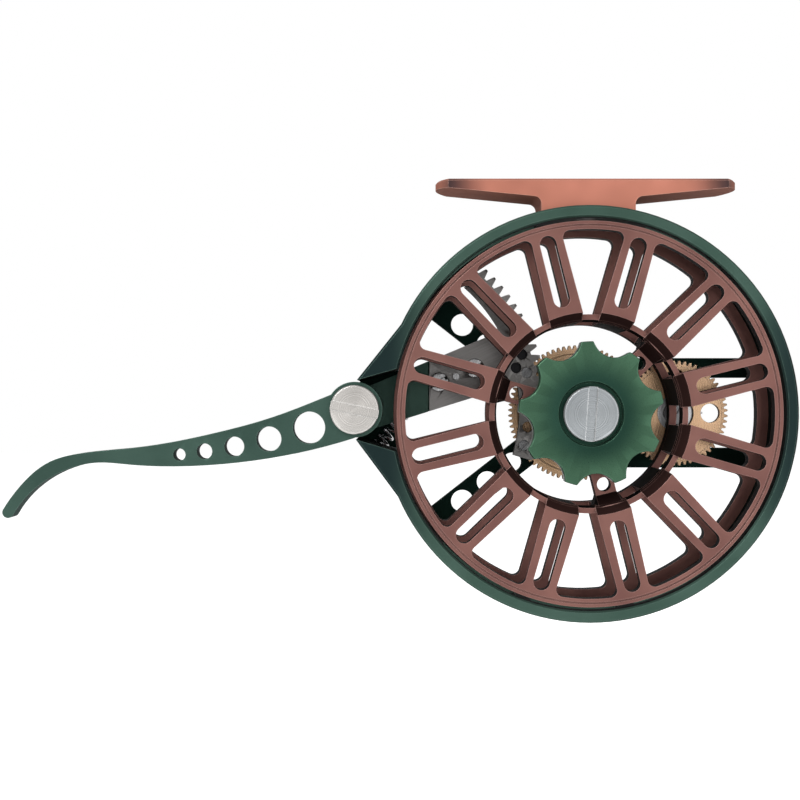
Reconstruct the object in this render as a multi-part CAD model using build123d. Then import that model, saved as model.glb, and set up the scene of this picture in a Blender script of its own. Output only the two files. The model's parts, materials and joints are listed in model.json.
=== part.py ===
from build123d import *
from math import acos, atan2, cos, degrees, pi, radians, sin, sqrt, tan
import os

# A semi-automatic fly reel. A finger lever turns a toothed sector, the sector
# drives a two-stage train behind the spool, and a one-way roller clutch hands
# the last pinion's turning to the spool, so that line runs out freely.
#
# All lengths are millimetres and all angles degrees. The model is drawn about
# the reel's axis: X to the right, Z up towards the rod, Y from the knob's side
# to the back. At the end it is moved so that the foot's seat is the origin.

# ---- frame ----
FRAME_R = 44.0           # outside radius of the frame
WALL = 2.5               # thickness of its round wall
RING_T = 3.5             # depth of the front ring
LINE_SLOT = 8.0          # depth of the line slots behind the ring
PILLAR_W = 3.6           # width of a pillar between two line slots
PILLARS = 6              # pillars round the open side
BRIDGE_HALF = 15.0       # half angle of the solid bridge under the foot
HORN_SLOT_LAP = 12.0     # angle that the line slots reach in under the horns
PLATE_T = 2.5            # thickness of the back plate
EDGE = 0.4               # small chamfer on machined outer edges
HORN_INSET = 1.15        # how far inside the round outline the horns' straight edges meet it
HORN_NOSE_R = 3.5        # how far the horns reach past the pivot
WELL_TOP_X = 0.8         # where the lever's pocket leaves the hub, along X from the pivot
WELL_BOTTOM_X = 0.4
WELL_BEVEL = 2.2         # slope round the pocket's front edge
WELL_REACH = 0.9         # how deep the pocket cuts, as a share of the frame's bore

# ---- gears ----
SECTOR_MODULE = 0.8
SECTOR_TEETH = 105       # teeth of the full circle that the sector is cut from
DRIVE_TEETH = 19
TRAIN_MODULE = 0.6
FIRST_TEETH = 50
IDLER_PINION_TEETH = 22
IDLER_TEETH = 38
SPOOL_PINION_TEETH = 34
PRESSURE_ANGLE = 20.0
RIM_TEETH_DEPTH = 2.3    # modules from a gear's pitch circle to its turned web
WEB_CUT = 0.5            # how much thinner the first gear's web is
WEB_HUB_R = 6.2          # hub left at full thickness inside the web
SHOULDER_R = 5.6         # shoulder between the drive pinion and the first gear
IDLER_STEP = 0.4         # how far the idler's disc stands in front of its teeth
IDLER_DISC_DEPTH = 1.9   # modules from the idler's pitch circle to that disc
IDLER_HOLES = 4
IDLER_HOLE_R = 2.13
IDLER_HOLE_AT = 7.74
PINION_FACE_R = 6.0      # raised face in front of the spool pinion
IDLER_SCREW_R = 2.7      # head of the screw in the idler's axle
IDLER_SCREW_STEM_R = 0.88
BACKLASH = 0.16          # play between meshed teeth, along the pitch circle

# ---- spool ----
RIM_GAP = 0.82           # between the spool's rim and the frame
RIM_W = 1.78             # width of the spool's rim, outside its windows
RIM_GROOVE = 0.35        # depth and width of the line turned in the rim's face
ARBOR_R = 22.1           # outside radius of the arbor
ARBOR_T = 1.6            # thickness of the arbor's wall
FRONT_FLANGE_T = 2.2
CHANNEL_W = 14.1         # room for line between the flanges
REAR_FLANGE_T = 3.2
SPOKES = 12
SPOKE_W = 6.7            # width of a double spoke
SPOKE_SLOT_W = 3.5       # width of the slot down its middle
SPOKE_TURN = -1.1        # how far the spool stands turned at rest
WINDOW_CORNER = 1.5
ARM_PLANE = 10.0         # depth of the hub arms' front face
ARM_T = 4.0              # thickness of the hub arms
ARM_W = 4.8              # width of a hub arm
ARM_ROOT_W = 8.6         # width where it meets the arbor
ARM_HOLE_R = 1.5
ARM_HOLE_AT = 15.8       # distance of that hole from the axis
HUB_R = 8.6
HUB_ARMS = 3
ARM_TURN = 46.0          # angle of the first hub arm on the spool
ARM_FLARE = 2.6          # length of an arm's flared end
CONE_OPEN = 1.2          # how much wider the arbor's bore is at its front
SLOT_IN = 0.9            # from the arbor to the start of a spoke's slot
SLOT_OUT = 0.4           # from the end of a spoke's slot to the windows' outer edge

# ---- axis stack ----
SHAFT_R = 2.5
RUN = 0.04               # radial running clearance
SEAT = 0.01              # radial clearance of a pressed seat
FACE_GAP = 0.1           # end float between turning faces
GEAR_GAP = 0.4           # between the planes of two gears
THIRD_T = 1.8            # thickness of the idler gear and the spool pinion
SECTOR_T = 2.0           # thickness of the sector and the pinion it drives
FIRST_T = 2.0            # thickness of the first gear
SPOOL_TO_GEAR = 0.8
GEAR_TO_PLATE = 0.6
SLEEVE_R = 4.0           # inner race of the clutch
CLUTCH_R = 6.0           # outside of the clutch cup
CLUTCH_WALL = 0.4
CLUTCH_L = 10.0
ROLLERS = 8
BEARING_R = 5.5          # outside of the front bearing
BEARING_T = 4.0
BALLS = 7
DISC_R = 8.4             # outside of the drag discs
DISC_T = 0.8
DISC_PLAY = 0.05         # between two discs of the drag
AXLE_R = 2.0             # fixed axle of the idler
COLLAR_W = 1.7           # how far the shaft's collar stands out
AXLE_COLLAR_W = 1.4
NUT_R = 4.0
NUT_T = 1.8
AXLE_NUT_R = 3.4
AXLE_NUT_T = 1.44
END_STAND = 0.4          # how far a shaft's end stands out of its nut
TAP_R = 1.25             # tapped hole in the shaft's front end
TAP_L = 6.0
AXLE_TAP_R = 0.9
BUSH_T = 0.8             # wall of the plain bushes
RACE_T = 0.3             # thickness of the washer behind the bearing
RACE_R = 3.5
GEAR_WASHER_R = 4.4
BALL_R = 0.9
RACE_GAP = 0.55          # half the gap between the bearing's two rings
CLIP_T = 0.3             # circlip in front of the bearing
CLIP_W = 1.05
CLIP_GAP = 2.4
LIP_R = 4.6              # bore through the hub behind the bearing
CONE_R = 6.9             # outside of the coned washer
CONE_T = 0.3

# ---- knob ----
KNOB_R = 15.2            # over the lobes
KNOB_VALLEY_R = 12.5
KNOB_LOBES = 9
KNOB_SCALLOP_R = 3.4     # radius of the hollow between two lobes
KNOB_TURN = 13.5         # angle of the first lobe
KNOB_FRONT = -3.0
KNOB_T = 4.4
KNOB_DISH_R = 8.5        # dished middle of the face
KNOB_WELL_R = 6.6        # well for the centre screw
KNOB_DISH_T = 0.7        # depth of the dish at the well
KNOB_TIP_R = 0.8         # rounding of a lobe's corners
HEAD_EDGE = 0.25         # chamfer of the slotted heads
SLOT_T = 0.5             # depth of their slots
BUTTON_R = 5.77
BUTTON_T = 1.7
BUTTON_TURN = 86.0       # angle of its slot from level
SLOT_W = 1.9             # screwdriver slot of the two large screws

# ---- lever ----
PIVOT_Z = 0.89           # height of the pivot above the reel's axis
HUB_END_R = 5.9          # round end of the lever about its pivot
LEVER_FRONT = 1.5        # depth of the lever's front face
LEVER_T = 5.0
LEVER_BUSH_L = 6.0
STROKE = 35.0            # how far the lever is pulled
LEVER_CLEAR = 0.4        # between the lever's hub and the frame
PIVOT_HEAD_R = 5.17
PIVOT_HEAD_T = 1.6
PIVOT_HEAD_TURN = -11.4
PIVOT_R = 2.5
LEVER_HOLES = (          # X and Z from the pivot, radius
    (-9.6, -3.8, 3.4), (-18.1, -6.2, 2.65), (-25.4, -7.8, 2.1), (-31.7, -8.8, 1.65),
    (-37.0, -9.5, 1.3),
)
ARM_TOP = (22.7, 3.73)   # inner arm's upper edge: its slope, its distance above the pivot
ARM_BOTTOM = (17.3, 5.29)
SECTOR_START = 16.2      # where the sector plate begins, along X from the pivot
SECTOR_RIM_R = 36.5      # inside radius of the toothed rim
SECTOR_TOP = 48.0        # angles of the toothed rim's two ends
SECTOR_LOW = -16.2
SECTOR_LAP = 0.3         # between the sector's plate and the arm's step
SECTOR_SCREW_R = 1.1
SECTOR_SCREW_HEAD_R = 2.1
SECTOR_SCREWS = ((18.4, 6.1), (26.5, 9.2))  # X and Z from the pivot
SECTOR_PIN = (22.3, 7.4)
SECTOR_PIN_R = 0.8
RIM_SCREW_R = 1.2
RIM_SCREWS = ((2.5, 12.1), (1.9, -12.3))    # distance outside the rim's inner edge, angle
RIM_HOLES = ((2.5, 18.4), (0.4, 14.6), (2.1, -6.0), (3.1, 24.6))
SKIRT_W = 3.5            # web that joins the sector's plate and rim
SKIRT = (8.0, 30.0)      # angles of that web's ends

# ---- return spring ----
SPRING_R = 1.75          # outside radius of the coil
SPRING_WIRE = 0.35       # radius of the wire
SPRING_TURNS = 6.0
SPRING_FOOT = (4.6, -8.8)  # its two ends from the pivot
SPRING_HEAD = (11.0, 0.1)
SPRING_PLAY = 0.3        # between the coil and its bores
SPRING_BORE_L = 7.0
SPRING_END = 0.1         # between the coil's ends and the bores' mouths

# ---- foot ----
FOOT_Y = 2.5             # depth of the foot's front face
FOOT_W = 14.5
FOOT_L = 64.6
FOOT_ROUND = 2.5         # how far its rounded ends stand out
FOOT_RISE = 5.9          # height of the seat above the round frame
FOOT_TIP_T = 1.7
FOOT_ROOT_T = 3.9
STEM_W = 20.0
STEM_FILLET = 1.6
STEM_SINK = 3.0          # how far the stem is drawn past the frame's outside before it is cut
FOOT_SCREW_R = 1.25
FOOT_SCREW_HEAD_R = 2.3
FOOT_SCREW_L = 6.0
FOOT_SCREW_SPOTS = (0.2, 0.8)  # places of the two screws across the foot
DRIVE_W = 0.7            # screwdriver slot of the small screws

# ---- back plate ----
SPIDER_ARMS = (142.0, 218.0)
SPIDER_ARM_W = 6.7
SPIDER_HOLES = ((32.7, 2.55), (25.5, 2.35), (18.3, 2.2))  # distance from the axis, radius
BAR_INNER = 8.0          # the two level bars: edge nearest the axis
BAR_W = 4.5
SPIDER_HUB_R = 8.0
HUB_BRIDGE_X = 10.4      # how far the solid middle reaches towards the idler
IDLER_BRIDGE_W = 8.0     # bridge that carries the idler's axle
BOSS_IN = 0.4            # how much smaller the plate's end is than the lever's hub
PLATE_SCREW_R = 0.8
PLATE_SCREW_HEAD_R = 1.35
PLATE_SCREW_IN = 1.15    # distance of the plate's screws outside the frame's bore
PLATE_SCREW_L = 5.5      # how deep the plate's screws reach into the frame
HEAD_SINK = 0.1          # how far a countersunk head lies below its face
PLATE_SCREW_ANGLES = (142.0, 218.0, 90.0, 270.0, 14.6, -14.6)

# ---- values that follow ----
BORE_R = FRAME_R - WALL
RIM_R = BORE_R - RIM_GAP
WINDOW_R = RIM_R - RIM_W
ARBOR_IN_R = ARBOR_R - ARBOR_T
SPOOL_BACK = FRONT_FLANGE_T + CHANNEL_W + REAR_FLANGE_T
THIRD_Y = SPOOL_BACK + SPOOL_TO_GEAR
SECTOR_Y = THIRD_Y + THIRD_T + GEAR_GAP
FIRST_Y = SECTOR_Y + SECTOR_T + GEAR_GAP
PLATE_Y = FIRST_Y + FIRST_T + GEAR_TO_PLATE
FRAME_BACK = PLATE_Y + PLATE_T
SLOT_BACK = RING_T + LINE_SLOT
PIVOT_D = SECTOR_MODULE * (SECTOR_TEETH + DRIVE_TEETH) / 2
PIVOT_X = -sqrt(PIVOT_D**2 - PIVOT_Z**2)
IDLER_X = TRAIN_MODULE * (FIRST_TEETH + IDLER_PINION_TEETH) / 2
TO_PIVOT = degrees(atan2(PIVOT_Z, PIVOT_X))
BUTTON_FRONT = KNOB_FRONT + 0.1
SHAFT_FRONT = BUTTON_FRONT + BUTTON_T
KNOB_BACK = KNOB_FRONT + KNOB_T
PRESSURE_Y = KNOB_BACK + 2 * CONE_T
FRICTION_Y = PRESSURE_Y + DISC_T
HUB_FRONT = FRICTION_Y + DISC_T + DISC_PLAY
BEARING_Y = HUB_FRONT + 0.5
CLUTCH_Y = SPOOL_BACK - 0.5 - CLUTCH_L
COLLAR_T = GEAR_TO_PLATE - FACE_GAP
HORN_TANGENT_R = FRAME_R - HORN_INSET
FOOT_TOP = FRAME_R + FOOT_RISE
FIRST_TIP_R = TRAIN_MODULE * (FIRST_TEETH / 2 + 1)
ARM_REACH = PIVOT_D - FIRST_TIP_R - GEAR_GAP
ARM_FRONT = THIRD_Y + FACE_GAP
ARM_BACK = PLATE_Y - 5 * FACE_GAP
SPRING_Y = (ARM_FRONT + ARM_BACK) / 2
BALL_AT = (SHAFT_R + BEARING_R) / 2
COLLAR_Y = PLATE_Y - COLLAR_T
BAR_Z = BAR_INNER + BAR_W / 2


# ---------- drawing helpers ----------
def slab(profile, front, back):
    """A drawing in the XZ plane made solid from depth `front` to depth `back`."""
    return extrude(Plane.XZ.offset(-front) * profile, amount=front - back)


def disc(radius, front, back, x=0.0, z=0.0):
    return slab(Pos(x, z) * Circle(radius), front, back)


def tube(outer, inner, front, back, x=0.0, z=0.0):
    return slab(Pos(x, z) * (Circle(outer) - Circle(inner)), front, back)


def turned(points, x=0.0, z=0.0):
    """A turned piece: its (radius, depth) outline swung about a line along Y."""
    outline = make_face(Polyline(*points, close=True))
    return Pos(x, 0, z) * revolve(outline, Axis.Y)


def polar(radius, angle):
    return (radius * cos(radians(angle)), radius * sin(radians(angle)))


def moved(point, origin):
    return (point[0] + origin[0], point[1] + origin[1])


def from_pivot(x, z):
    return (PIVOT_X + x, PIVOT_Z + z)


def front_edges(part, depth):
    """The edges that lie flat in the plane at this depth."""
    return part.edges().filter_by(lambda e: abs(e.bounding_box().min.Y - depth) < 1e-3
                                  and abs(e.bounding_box().max.Y - depth) < 1e-3)


# ---------- gear teeth ----------
def involute(angle):
    return tan(radians(angle)) - radians(angle)


def tooth(teeth, module):
    """Half of one tooth as (radius, half angle) points from root to tip."""
    pitch_r = module * teeth / 2
    base_r = pitch_r * cos(radians(PRESSURE_ANGLE))
    half = (pi * module / 2 - BACKLASH / 2) / (2 * pitch_r) + involute(PRESSURE_ANGLE)
    flank = []
    for radius in (pitch_r - 1.25 * module, pitch_r, pitch_r + module):
        lean = degrees(acos(min(1.0, base_r / radius)))
        flank.append((radius, degrees(half - involute(lean))))
    return flank


def toothed_line(teeth, module, first, last, turn):
    """Outline points of teeth number `first` to `last`; tooth 0 is centred on `turn`."""
    flank = tooth(teeth, module)
    points = []
    for number in range(first, last + 1):
        centre = turn + 360.0 * number / teeth
        points += [polar(radius, centre - lean) for radius, lean in flank]
        points += [polar(radius, centre + lean) for radius, lean in reversed(flank)]
    return points


def gear_face(teeth, module, turn):
    return make_face(Polyline(*toothed_line(teeth, module, 0, teeth - 1, turn), close=True))


# ---------- frame ----------
def hull_profile():
    """The frame's round outline with the two straight horns that run out to the pivot."""
    lean = degrees(acos((HORN_TANGENT_R - HORN_NOSE_R) / PIVOT_D))
    pivot = (PIVOT_X, PIVOT_Z)
    corners = [
        polar(HORN_TANGENT_R, TO_PIVOT - lean),
        moved(polar(HORN_NOSE_R, TO_PIVOT - lean), pivot),
        moved(polar(HORN_NOSE_R, TO_PIVOT + lean), pivot),
        polar(HORN_TANGENT_R, TO_PIVOT + lean),
    ]
    horns = make_face(Polyline(*corners, close=True))
    return Circle(FRAME_R) + horns


def edge_line(edge, side, x, turn=0.0, gap=0.0):
    """Point at `x` on one edge of the lever's inner arm, turned about the pivot."""
    slope, offset = edge
    angle = radians(slope + turn)
    return (x, side * (offset + gap) / cos(angle) + x * tan(angle))


def lever_well_profile():
    """The pocket that the lever's hub and inner arm swing in."""
    far = -PIVOT_X - BORE_R * WELL_REACH
    gap = LEVER_CLEAR
    top = edge_line(ARM_TOP, 1, far, 0.0, gap)
    bottom = edge_line(ARM_BOTTOM, -1, far, -STROKE, gap)
    top_left = (WELL_TOP_X, HUB_END_R + gap)
    bottom_left = (WELL_BOTTOM_X, -HUB_END_R - gap)
    corners = [from_pivot(*point) for point in (top_left, top, bottom, bottom_left)]
    hub = Pos(PIVOT_X, PIVOT_Z) * Circle(HUB_END_R + gap)
    return make_face(Polyline(*corners, close=True)) + hub


def ring_sector(outer, inner, start, end):
    """A piece of a flat ring between two angles."""
    middle = (start + end) / 2
    outline = [
        Line(polar(inner, start), polar(outer, start)),
        ThreePointArc(polar(outer, start), polar(outer, middle), polar(outer, end)),
        Line(polar(outer, end), polar(inner, end)),
        ThreePointArc(polar(inner, end), polar(inner, middle), polar(inner, start)),
    ]
    return make_face(outline)


def line_slot_angles():
    """Start and end angle of each line slot, from the lower horn round to the upper one."""
    half_pillar = degrees(PILLAR_W / 2 / FRAME_R)
    horn = degrees(acos(HORN_TANGENT_R / FRAME_R)) + degrees(acos(
        (HORN_TANGENT_R - HORN_NOSE_R) / PIVOT_D)) - HORN_SLOT_LAP
    start = TO_PIVOT + horn + half_pillar - 360.0
    end = 90.0 - BRIDGE_HALF
    pitch = (end - start) / (PILLARS + 1)
    slots = [(start + pitch * k + half_pillar, start + pitch * (k + 1) - half_pillar)
             for k in range(PILLARS + 1)]
    slots.append((90.0 + BRIDGE_HALF, TO_PIVOT - horn - half_pillar))
    return slots


def plate_screw_spots():
    return [polar(BORE_R + PLATE_SCREW_IN, angle) for angle in PLATE_SCREW_ANGLES]


def make_frame():
    body = slab(hull_profile() - Circle(BORE_R), 0, PLATE_Y)
    body = chamfer(front_edges(body, 0), EDGE)
    for start, end in line_slot_angles():
        slot = ring_sector(FRAME_R + 3, BORE_R - 2, start, end)
        body -= slab(slot, RING_T, SLOT_BACK)
    well = lever_well_profile()
    body -= slab(well, -1, PLATE_Y + 1)
    scoop = Plane.XZ.offset(WELL_BEVEL) * offset(well, WELL_BEVEL)
    body -= extrude(scoop, amount=-2 * WELL_BEVEL, taper=45)
    for x, z in plate_screw_spots():
        body -= disc(PLATE_SCREW_R, PLATE_Y - PLATE_SCREW_L - 0.5, PLATE_Y + 1, x, z)
    body -= spring_bore(SPRING_FOOT, 1)
    for y in foot_screw_depths():
        body -= Pos(0, y, 0) * foot_screw_shape(SEAT, 2)
    return largest(body)


def largest(shape):
    """The main solid, without the slivers that a cut left loose."""
    return max(shape.solids(), key=lambda solid: solid.volume)


def foot_screw_depths():
    return [FOOT_Y + FOOT_W * share for share in FOOT_SCREW_SPOTS]


def foot_screw_shape(gap, below=0.0):
    """A countersunk screw up through the bridge; `gap` and `below` widen it into its hole."""
    low = BORE_R + HEAD_SINK
    head_top = low + FOOT_SCREW_HEAD_R - FOOT_SCREW_R
    top = low + FOOT_SCREW_L + 10 * gap
    outline = [
        (0, low), (FOOT_SCREW_HEAD_R + gap, low), (FOOT_SCREW_R + gap, head_top),
        (FOOT_SCREW_R + gap, top), (0, top),
    ]
    shape = revolve(make_face(Plane.XZ * Polyline(*outline, close=True)), Axis.Z)
    if below:
        shape += extrude(Plane.XY.offset(low) * Circle(FOOT_SCREW_HEAD_R + gap), amount=-below)
    return shape


def make_foot_screws():
    screws = []
    for y in foot_screw_depths():
        drive = Pos(0, 0, BORE_R + HEAD_SINK) * Box(FOOT_SCREW_HEAD_R * 3, DRIVE_W, DRIVE_W)
        screws.append(Pos(0, y, 0) * (foot_screw_shape(0) - drive))
    return Compound(screws)


def make_back_plate():
    rim = hull_profile() - Circle(BORE_R)
    plate = rim + Circle(SPIDER_HUB_R)
    for angle in SPIDER_ARMS:
        plate += Rot(0, 0, angle) * Pos(BORE_R / 2, 0) * Rectangle(BORE_R + 1, SPIDER_ARM_W)
    bar_end = sqrt(BORE_R**2 - BAR_Z**2) + WALL / 5
    for side in (-1, 1):
        plate += Pos(bar_end / 2, side * BAR_Z) * Rectangle(bar_end, BAR_W)
    plate += Pos(IDLER_X, 0) * Rectangle(IDLER_BRIDGE_W, 2 * BAR_Z)
    plate += Pos((HUB_BRIDGE_X - SPIDER_HUB_R) / 2, 0) * Rectangle(SPIDER_HUB_R + HUB_BRIDGE_X, 2 * BAR_Z)
    for angle in SPIDER_ARMS:
        for distance, radius in SPIDER_HOLES:
            plate -= Pos(*polar(distance, angle)) * Circle(radius)
    body = slab(plate, PLATE_Y, FRAME_BACK)
    body = body + disc(HUB_END_R - BOSS_IN, PLATE_Y, FRAME_BACK, PIVOT_X, PIVOT_Z)
    body -= disc(PIVOT_R + SEAT, PLATE_Y - 1, FRAME_BACK + 1, PIVOT_X, PIVOT_Z)
    body -= disc(SHAFT_R + SEAT, PLATE_Y - 1, FRAME_BACK + 1)
    body -= disc(AXLE_R + SEAT, PLATE_Y - 1, FRAME_BACK + 1, IDLER_X)
    for x, z in plate_screw_spots():
        body -= plate_screw_shape(SEAT, x, z)
    return body


def plate_screw_shape(gap, x, z):
    """A countersunk screw let in from the back; `gap` widens it into its hole."""
    back = FRAME_BACK - HEAD_SINK
    head_t = PLATE_SCREW_HEAD_R - PLATE_SCREW_R
    end = PLATE_Y - PLATE_SCREW_L
    outline = [
        (0, back), (PLATE_SCREW_HEAD_R + gap, back), (PLATE_SCREW_R + gap, back - head_t),
        (PLATE_SCREW_R + gap, end), (0, end),
    ]
    shape = turned(outline, x, z)
    if gap:
        shape += disc(PLATE_SCREW_HEAD_R + gap, back, FRAME_BACK + 1, x, z)
    return shape


def make_plate_screws():
    screws = []
    for x, z in plate_screw_spots():
        bar = Pos(x, z) * Rectangle(3 * PLATE_SCREW_HEAD_R, DRIVE_W * 0.7)
        drive = slab(bar, FRAME_BACK - DRIVE_W * 0.6, FRAME_BACK + 1)
        screws.append(plate_screw_shape(0, x, z) - drive)
    return Compound(screws)


# ---------- foot ----------
def make_foot():
    """Saddle foot: a flat seat, two wings that thin towards their tips, and a stem."""
    half = FOOT_L / 2
    stem = STEM_W / 2
    base = sqrt(FRAME_R**2 - stem**2)
    outline = [
        (-half, FOOT_TOP), (half, FOOT_TOP), (half, FOOT_TOP - FOOT_TIP_T),
        (stem, FOOT_TOP - FOOT_ROOT_T), (stem, base - STEM_SINK), (-stem, base - STEM_SINK),
        (-stem, FOOT_TOP - FOOT_ROOT_T), (-half, FOOT_TOP - FOOT_TIP_T),
    ]
    profile = make_face(Polyline(*outline, close=True))
    inner = profile.vertices().filter_by(
        lambda v: abs(abs(v.X) - stem) < 1e-3 and v.Y > base - 1)
    profile = fillet(inner, STEM_FILLET) - Circle(FRAME_R + SEAT)
    body = slab(profile, FOOT_Y, FOOT_Y + FOOT_W)
    straight = half - FOOT_ROUND
    back = FOOT_Y + FOOT_W
    middle = FOOT_Y + FOOT_W / 2
    plan = make_face([
        Line((-straight, FOOT_Y), (straight, FOOT_Y)),
        ThreePointArc((straight, FOOT_Y), (half, middle), (straight, back)),
        Line((straight, back), (-straight, back)),
        ThreePointArc((-straight, back), (-half, middle), (-straight, FOOT_Y)),
    ])
    body &= extrude(Plane.XY.offset(FRAME_R * 0.5) * plan, amount=FRAME_R)
    rim = body.edges().filter_by(lambda e: e.bounding_box().min.Z > FOOT_TOP - 1e-3)
    body = chamfer(rim, EDGE)
    for y in foot_screw_depths():
        body -= Pos(0, y, 0) * foot_screw_shape(SEAT, 2)
    return largest(body)


# ---------- axis stack ----------
def make_main_shaft():
    """Fixed spindle with a collar against the back plate and a tapped front end."""
    end = FRAME_BACK + NUT_T + END_STAND
    collar_r = SHAFT_R + COLLAR_W
    outline = [
        (TAP_R, SHAFT_FRONT), (SHAFT_R - HEAD_EDGE, SHAFT_FRONT),
        (SHAFT_R, SHAFT_FRONT + HEAD_EDGE), (SHAFT_R, COLLAR_Y), (collar_r, COLLAR_Y),
        (collar_r, PLATE_Y), (SHAFT_R, PLATE_Y), (SHAFT_R, end), (0, end),
        (0, SHAFT_FRONT + TAP_L), (TAP_R, SHAFT_FRONT + TAP_L),
    ]
    return turned(outline)


def nut(radius, bore, thickness, x=0.0):
    hexagon = Pos(x, 0) * (RegularPolygon(radius, 6) - Circle(bore))
    return slab(hexagon, FRAME_BACK, FRAME_BACK + thickness)


def make_shaft_nut():
    return nut(NUT_R, SHAFT_R + SEAT, NUT_T)


def make_idler_axle():
    front = THIRD_Y + THIRD_T / 2
    end = FRAME_BACK + AXLE_NUT_T + END_STAND / 2
    tap_end = front + TAP_L * 0.7
    collar_r = AXLE_R + AXLE_COLLAR_W
    outline = [
        (AXLE_TAP_R, front), (AXLE_R, front), (AXLE_R, COLLAR_Y), (collar_r, COLLAR_Y),
        (collar_r, PLATE_Y), (AXLE_R, PLATE_Y), (AXLE_R, end), (0, end), (0, tap_end),
        (AXLE_TAP_R, tap_end),
    ]
    return turned(outline, IDLER_X)


def make_idler_nut():
    return nut(AXLE_NUT_R, AXLE_R + SEAT, AXLE_NUT_T, IDLER_X)


def make_idler_screw():
    front = THIRD_Y - FACE_GAP
    seat = THIRD_Y + THIRD_T / 2 - FACE_GAP / 2
    head = disc(IDLER_SCREW_R, front, seat, IDLER_X)
    head = chamfer(front_edges(head, front), HEAD_EDGE)
    stem = disc(IDLER_SCREW_STEM_R, seat, seat + TAP_L * 0.6, IDLER_X)
    bar = Pos(IDLER_X, 0) * Rot(0, 0, 60) * Rectangle(3 * IDLER_SCREW_R, DRIVE_W)
    return head + stem - slab(bar, front - 1, front + 0.65 * DRIVE_W)


# ---------- gear train ----------
def make_first_gear():
    """Brass gear of the first compound wheel; its web is turned thinner in front."""
    body = slab(gear_face(FIRST_TEETH, TRAIN_MODULE, 0.0), FIRST_Y, FIRST_Y + FIRST_T)
    rim_r = TRAIN_MODULE * (FIRST_TEETH / 2 - RIM_TEETH_DEPTH)
    body -= tube(rim_r, WEB_HUB_R, FIRST_Y - 1, FIRST_Y + WEB_CUT)
    body -= disc(SLEEVE_R + SEAT, FIRST_Y - 1, FIRST_Y + FIRST_T + 1)
    return body


def make_drive_pinion():
    """Steel pinion that the sector drives, with the sleeve that carries the first gear."""
    turn = TO_PIVOT + 180.0 / DRIVE_TEETH
    body = slab(gear_face(DRIVE_TEETH, SECTOR_MODULE, turn), SECTOR_Y, SECTOR_Y + SECTOR_T)
    body += disc(SLEEVE_R, SECTOR_Y + SECTOR_T, FIRST_Y + FIRST_T)
    body += disc(SHOULDER_R, SECTOR_Y + SECTOR_T, FIRST_Y)
    body -= disc(SHAFT_R + BUSH_T + SEAT, SECTOR_Y - 1, FIRST_Y + FIRST_T + 1)
    return body


def make_first_bush():
    front = SECTOR_Y - FACE_GAP / 2
    return tube(SHAFT_R + BUSH_T, SHAFT_R + RUN, front, FIRST_Y + FIRST_T)


def make_idler_gear():
    """Brass idler: a raised disc inside the teeth, with four round holes."""
    face = Pos(IDLER_X, 0) * gear_face(IDLER_TEETH, TRAIN_MODULE, 180.0)
    body = slab(face, THIRD_Y + IDLER_STEP, THIRD_Y + THIRD_T)
    disc_r = TRAIN_MODULE * (IDLER_TEETH / 2 - IDLER_DISC_DEPTH)
    body += disc(disc_r, THIRD_Y, THIRD_Y + IDLER_STEP, IDLER_X)
    for k in range(IDLER_HOLES):
        x, z = polar(IDLER_HOLE_AT, 360 * k / IDLER_HOLES)
        body -= disc(IDLER_HOLE_R, THIRD_Y - 1, THIRD_Y + THIRD_T + 1, IDLER_X + x, z)
    body -= disc(SLEEVE_R + SEAT, THIRD_Y - 1, THIRD_Y + THIRD_T + 1, IDLER_X)
    return body


def make_idler_pinion():
    """Steel pinion behind the idler gear, with the sleeve that the gear is pressed on."""
    turn = 180.0 + 180.0 / IDLER_PINION_TEETH
    face = Pos(IDLER_X, 0) * gear_face(IDLER_PINION_TEETH, TRAIN_MODULE, turn)
    body = slab(face, FIRST_Y, FIRST_Y + FIRST_T)
    body += disc(SLEEVE_R, THIRD_Y + THIRD_T / 2 + FACE_GAP / 2, FIRST_Y, IDLER_X)
    body += disc(SHOULDER_R - IDLER_STEP, THIRD_Y + THIRD_T, FIRST_Y, IDLER_X)
    body -= disc(AXLE_R + RUN, THIRD_Y - 1, FIRST_Y + FIRST_T + 1, IDLER_X)
    return body


def make_spool_pinion():
    """Last pinion of the train, one piece with the sleeve that the clutch grips."""
    turn = 180.0 / SPOOL_PINION_TEETH
    face = gear_face(SPOOL_PINION_TEETH, TRAIN_MODULE, turn)
    body = slab(face, THIRD_Y + IDLER_STEP, THIRD_Y + THIRD_T)
    body += disc(PINION_FACE_R, THIRD_Y, THIRD_Y + IDLER_STEP)
    body += disc(SLEEVE_R, BEARING_Y + BEARING_T + RACE_T + FACE_GAP, THIRD_Y)
    body -= disc(SHAFT_R + RUN, 0, THIRD_Y + THIRD_T + 1)
    return body


def make_thrust_washers():
    gap = FACE_GAP / 2
    bearing_back = BEARING_Y + BEARING_T
    between_gears = tube(GEAR_WASHER_R, SHAFT_R + RUN, THIRD_Y + THIRD_T + gap, SECTOR_Y - 2 * gap)
    at_bearing = tube(RACE_R, SHAFT_R + RUN, bearing_back + gap, bearing_back + RACE_T)
    return Compound([between_gears, at_bearing])


def make_clutch_cup():
    lip = SLEEVE_R + CLUTCH_WALL
    back = CLUTCH_Y + CLUTCH_L
    inside = CLUTCH_R - CLUTCH_WALL
    outline = [
        (lip, CLUTCH_Y), (CLUTCH_R, CLUTCH_Y), (CLUTCH_R, back), (lip, back),
        (lip, back - CLUTCH_WALL), (inside, back - CLUTCH_WALL),
        (inside, CLUTCH_Y + CLUTCH_WALL), (lip, CLUTCH_Y + CLUTCH_WALL),
    ]
    return turned(outline)


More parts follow.
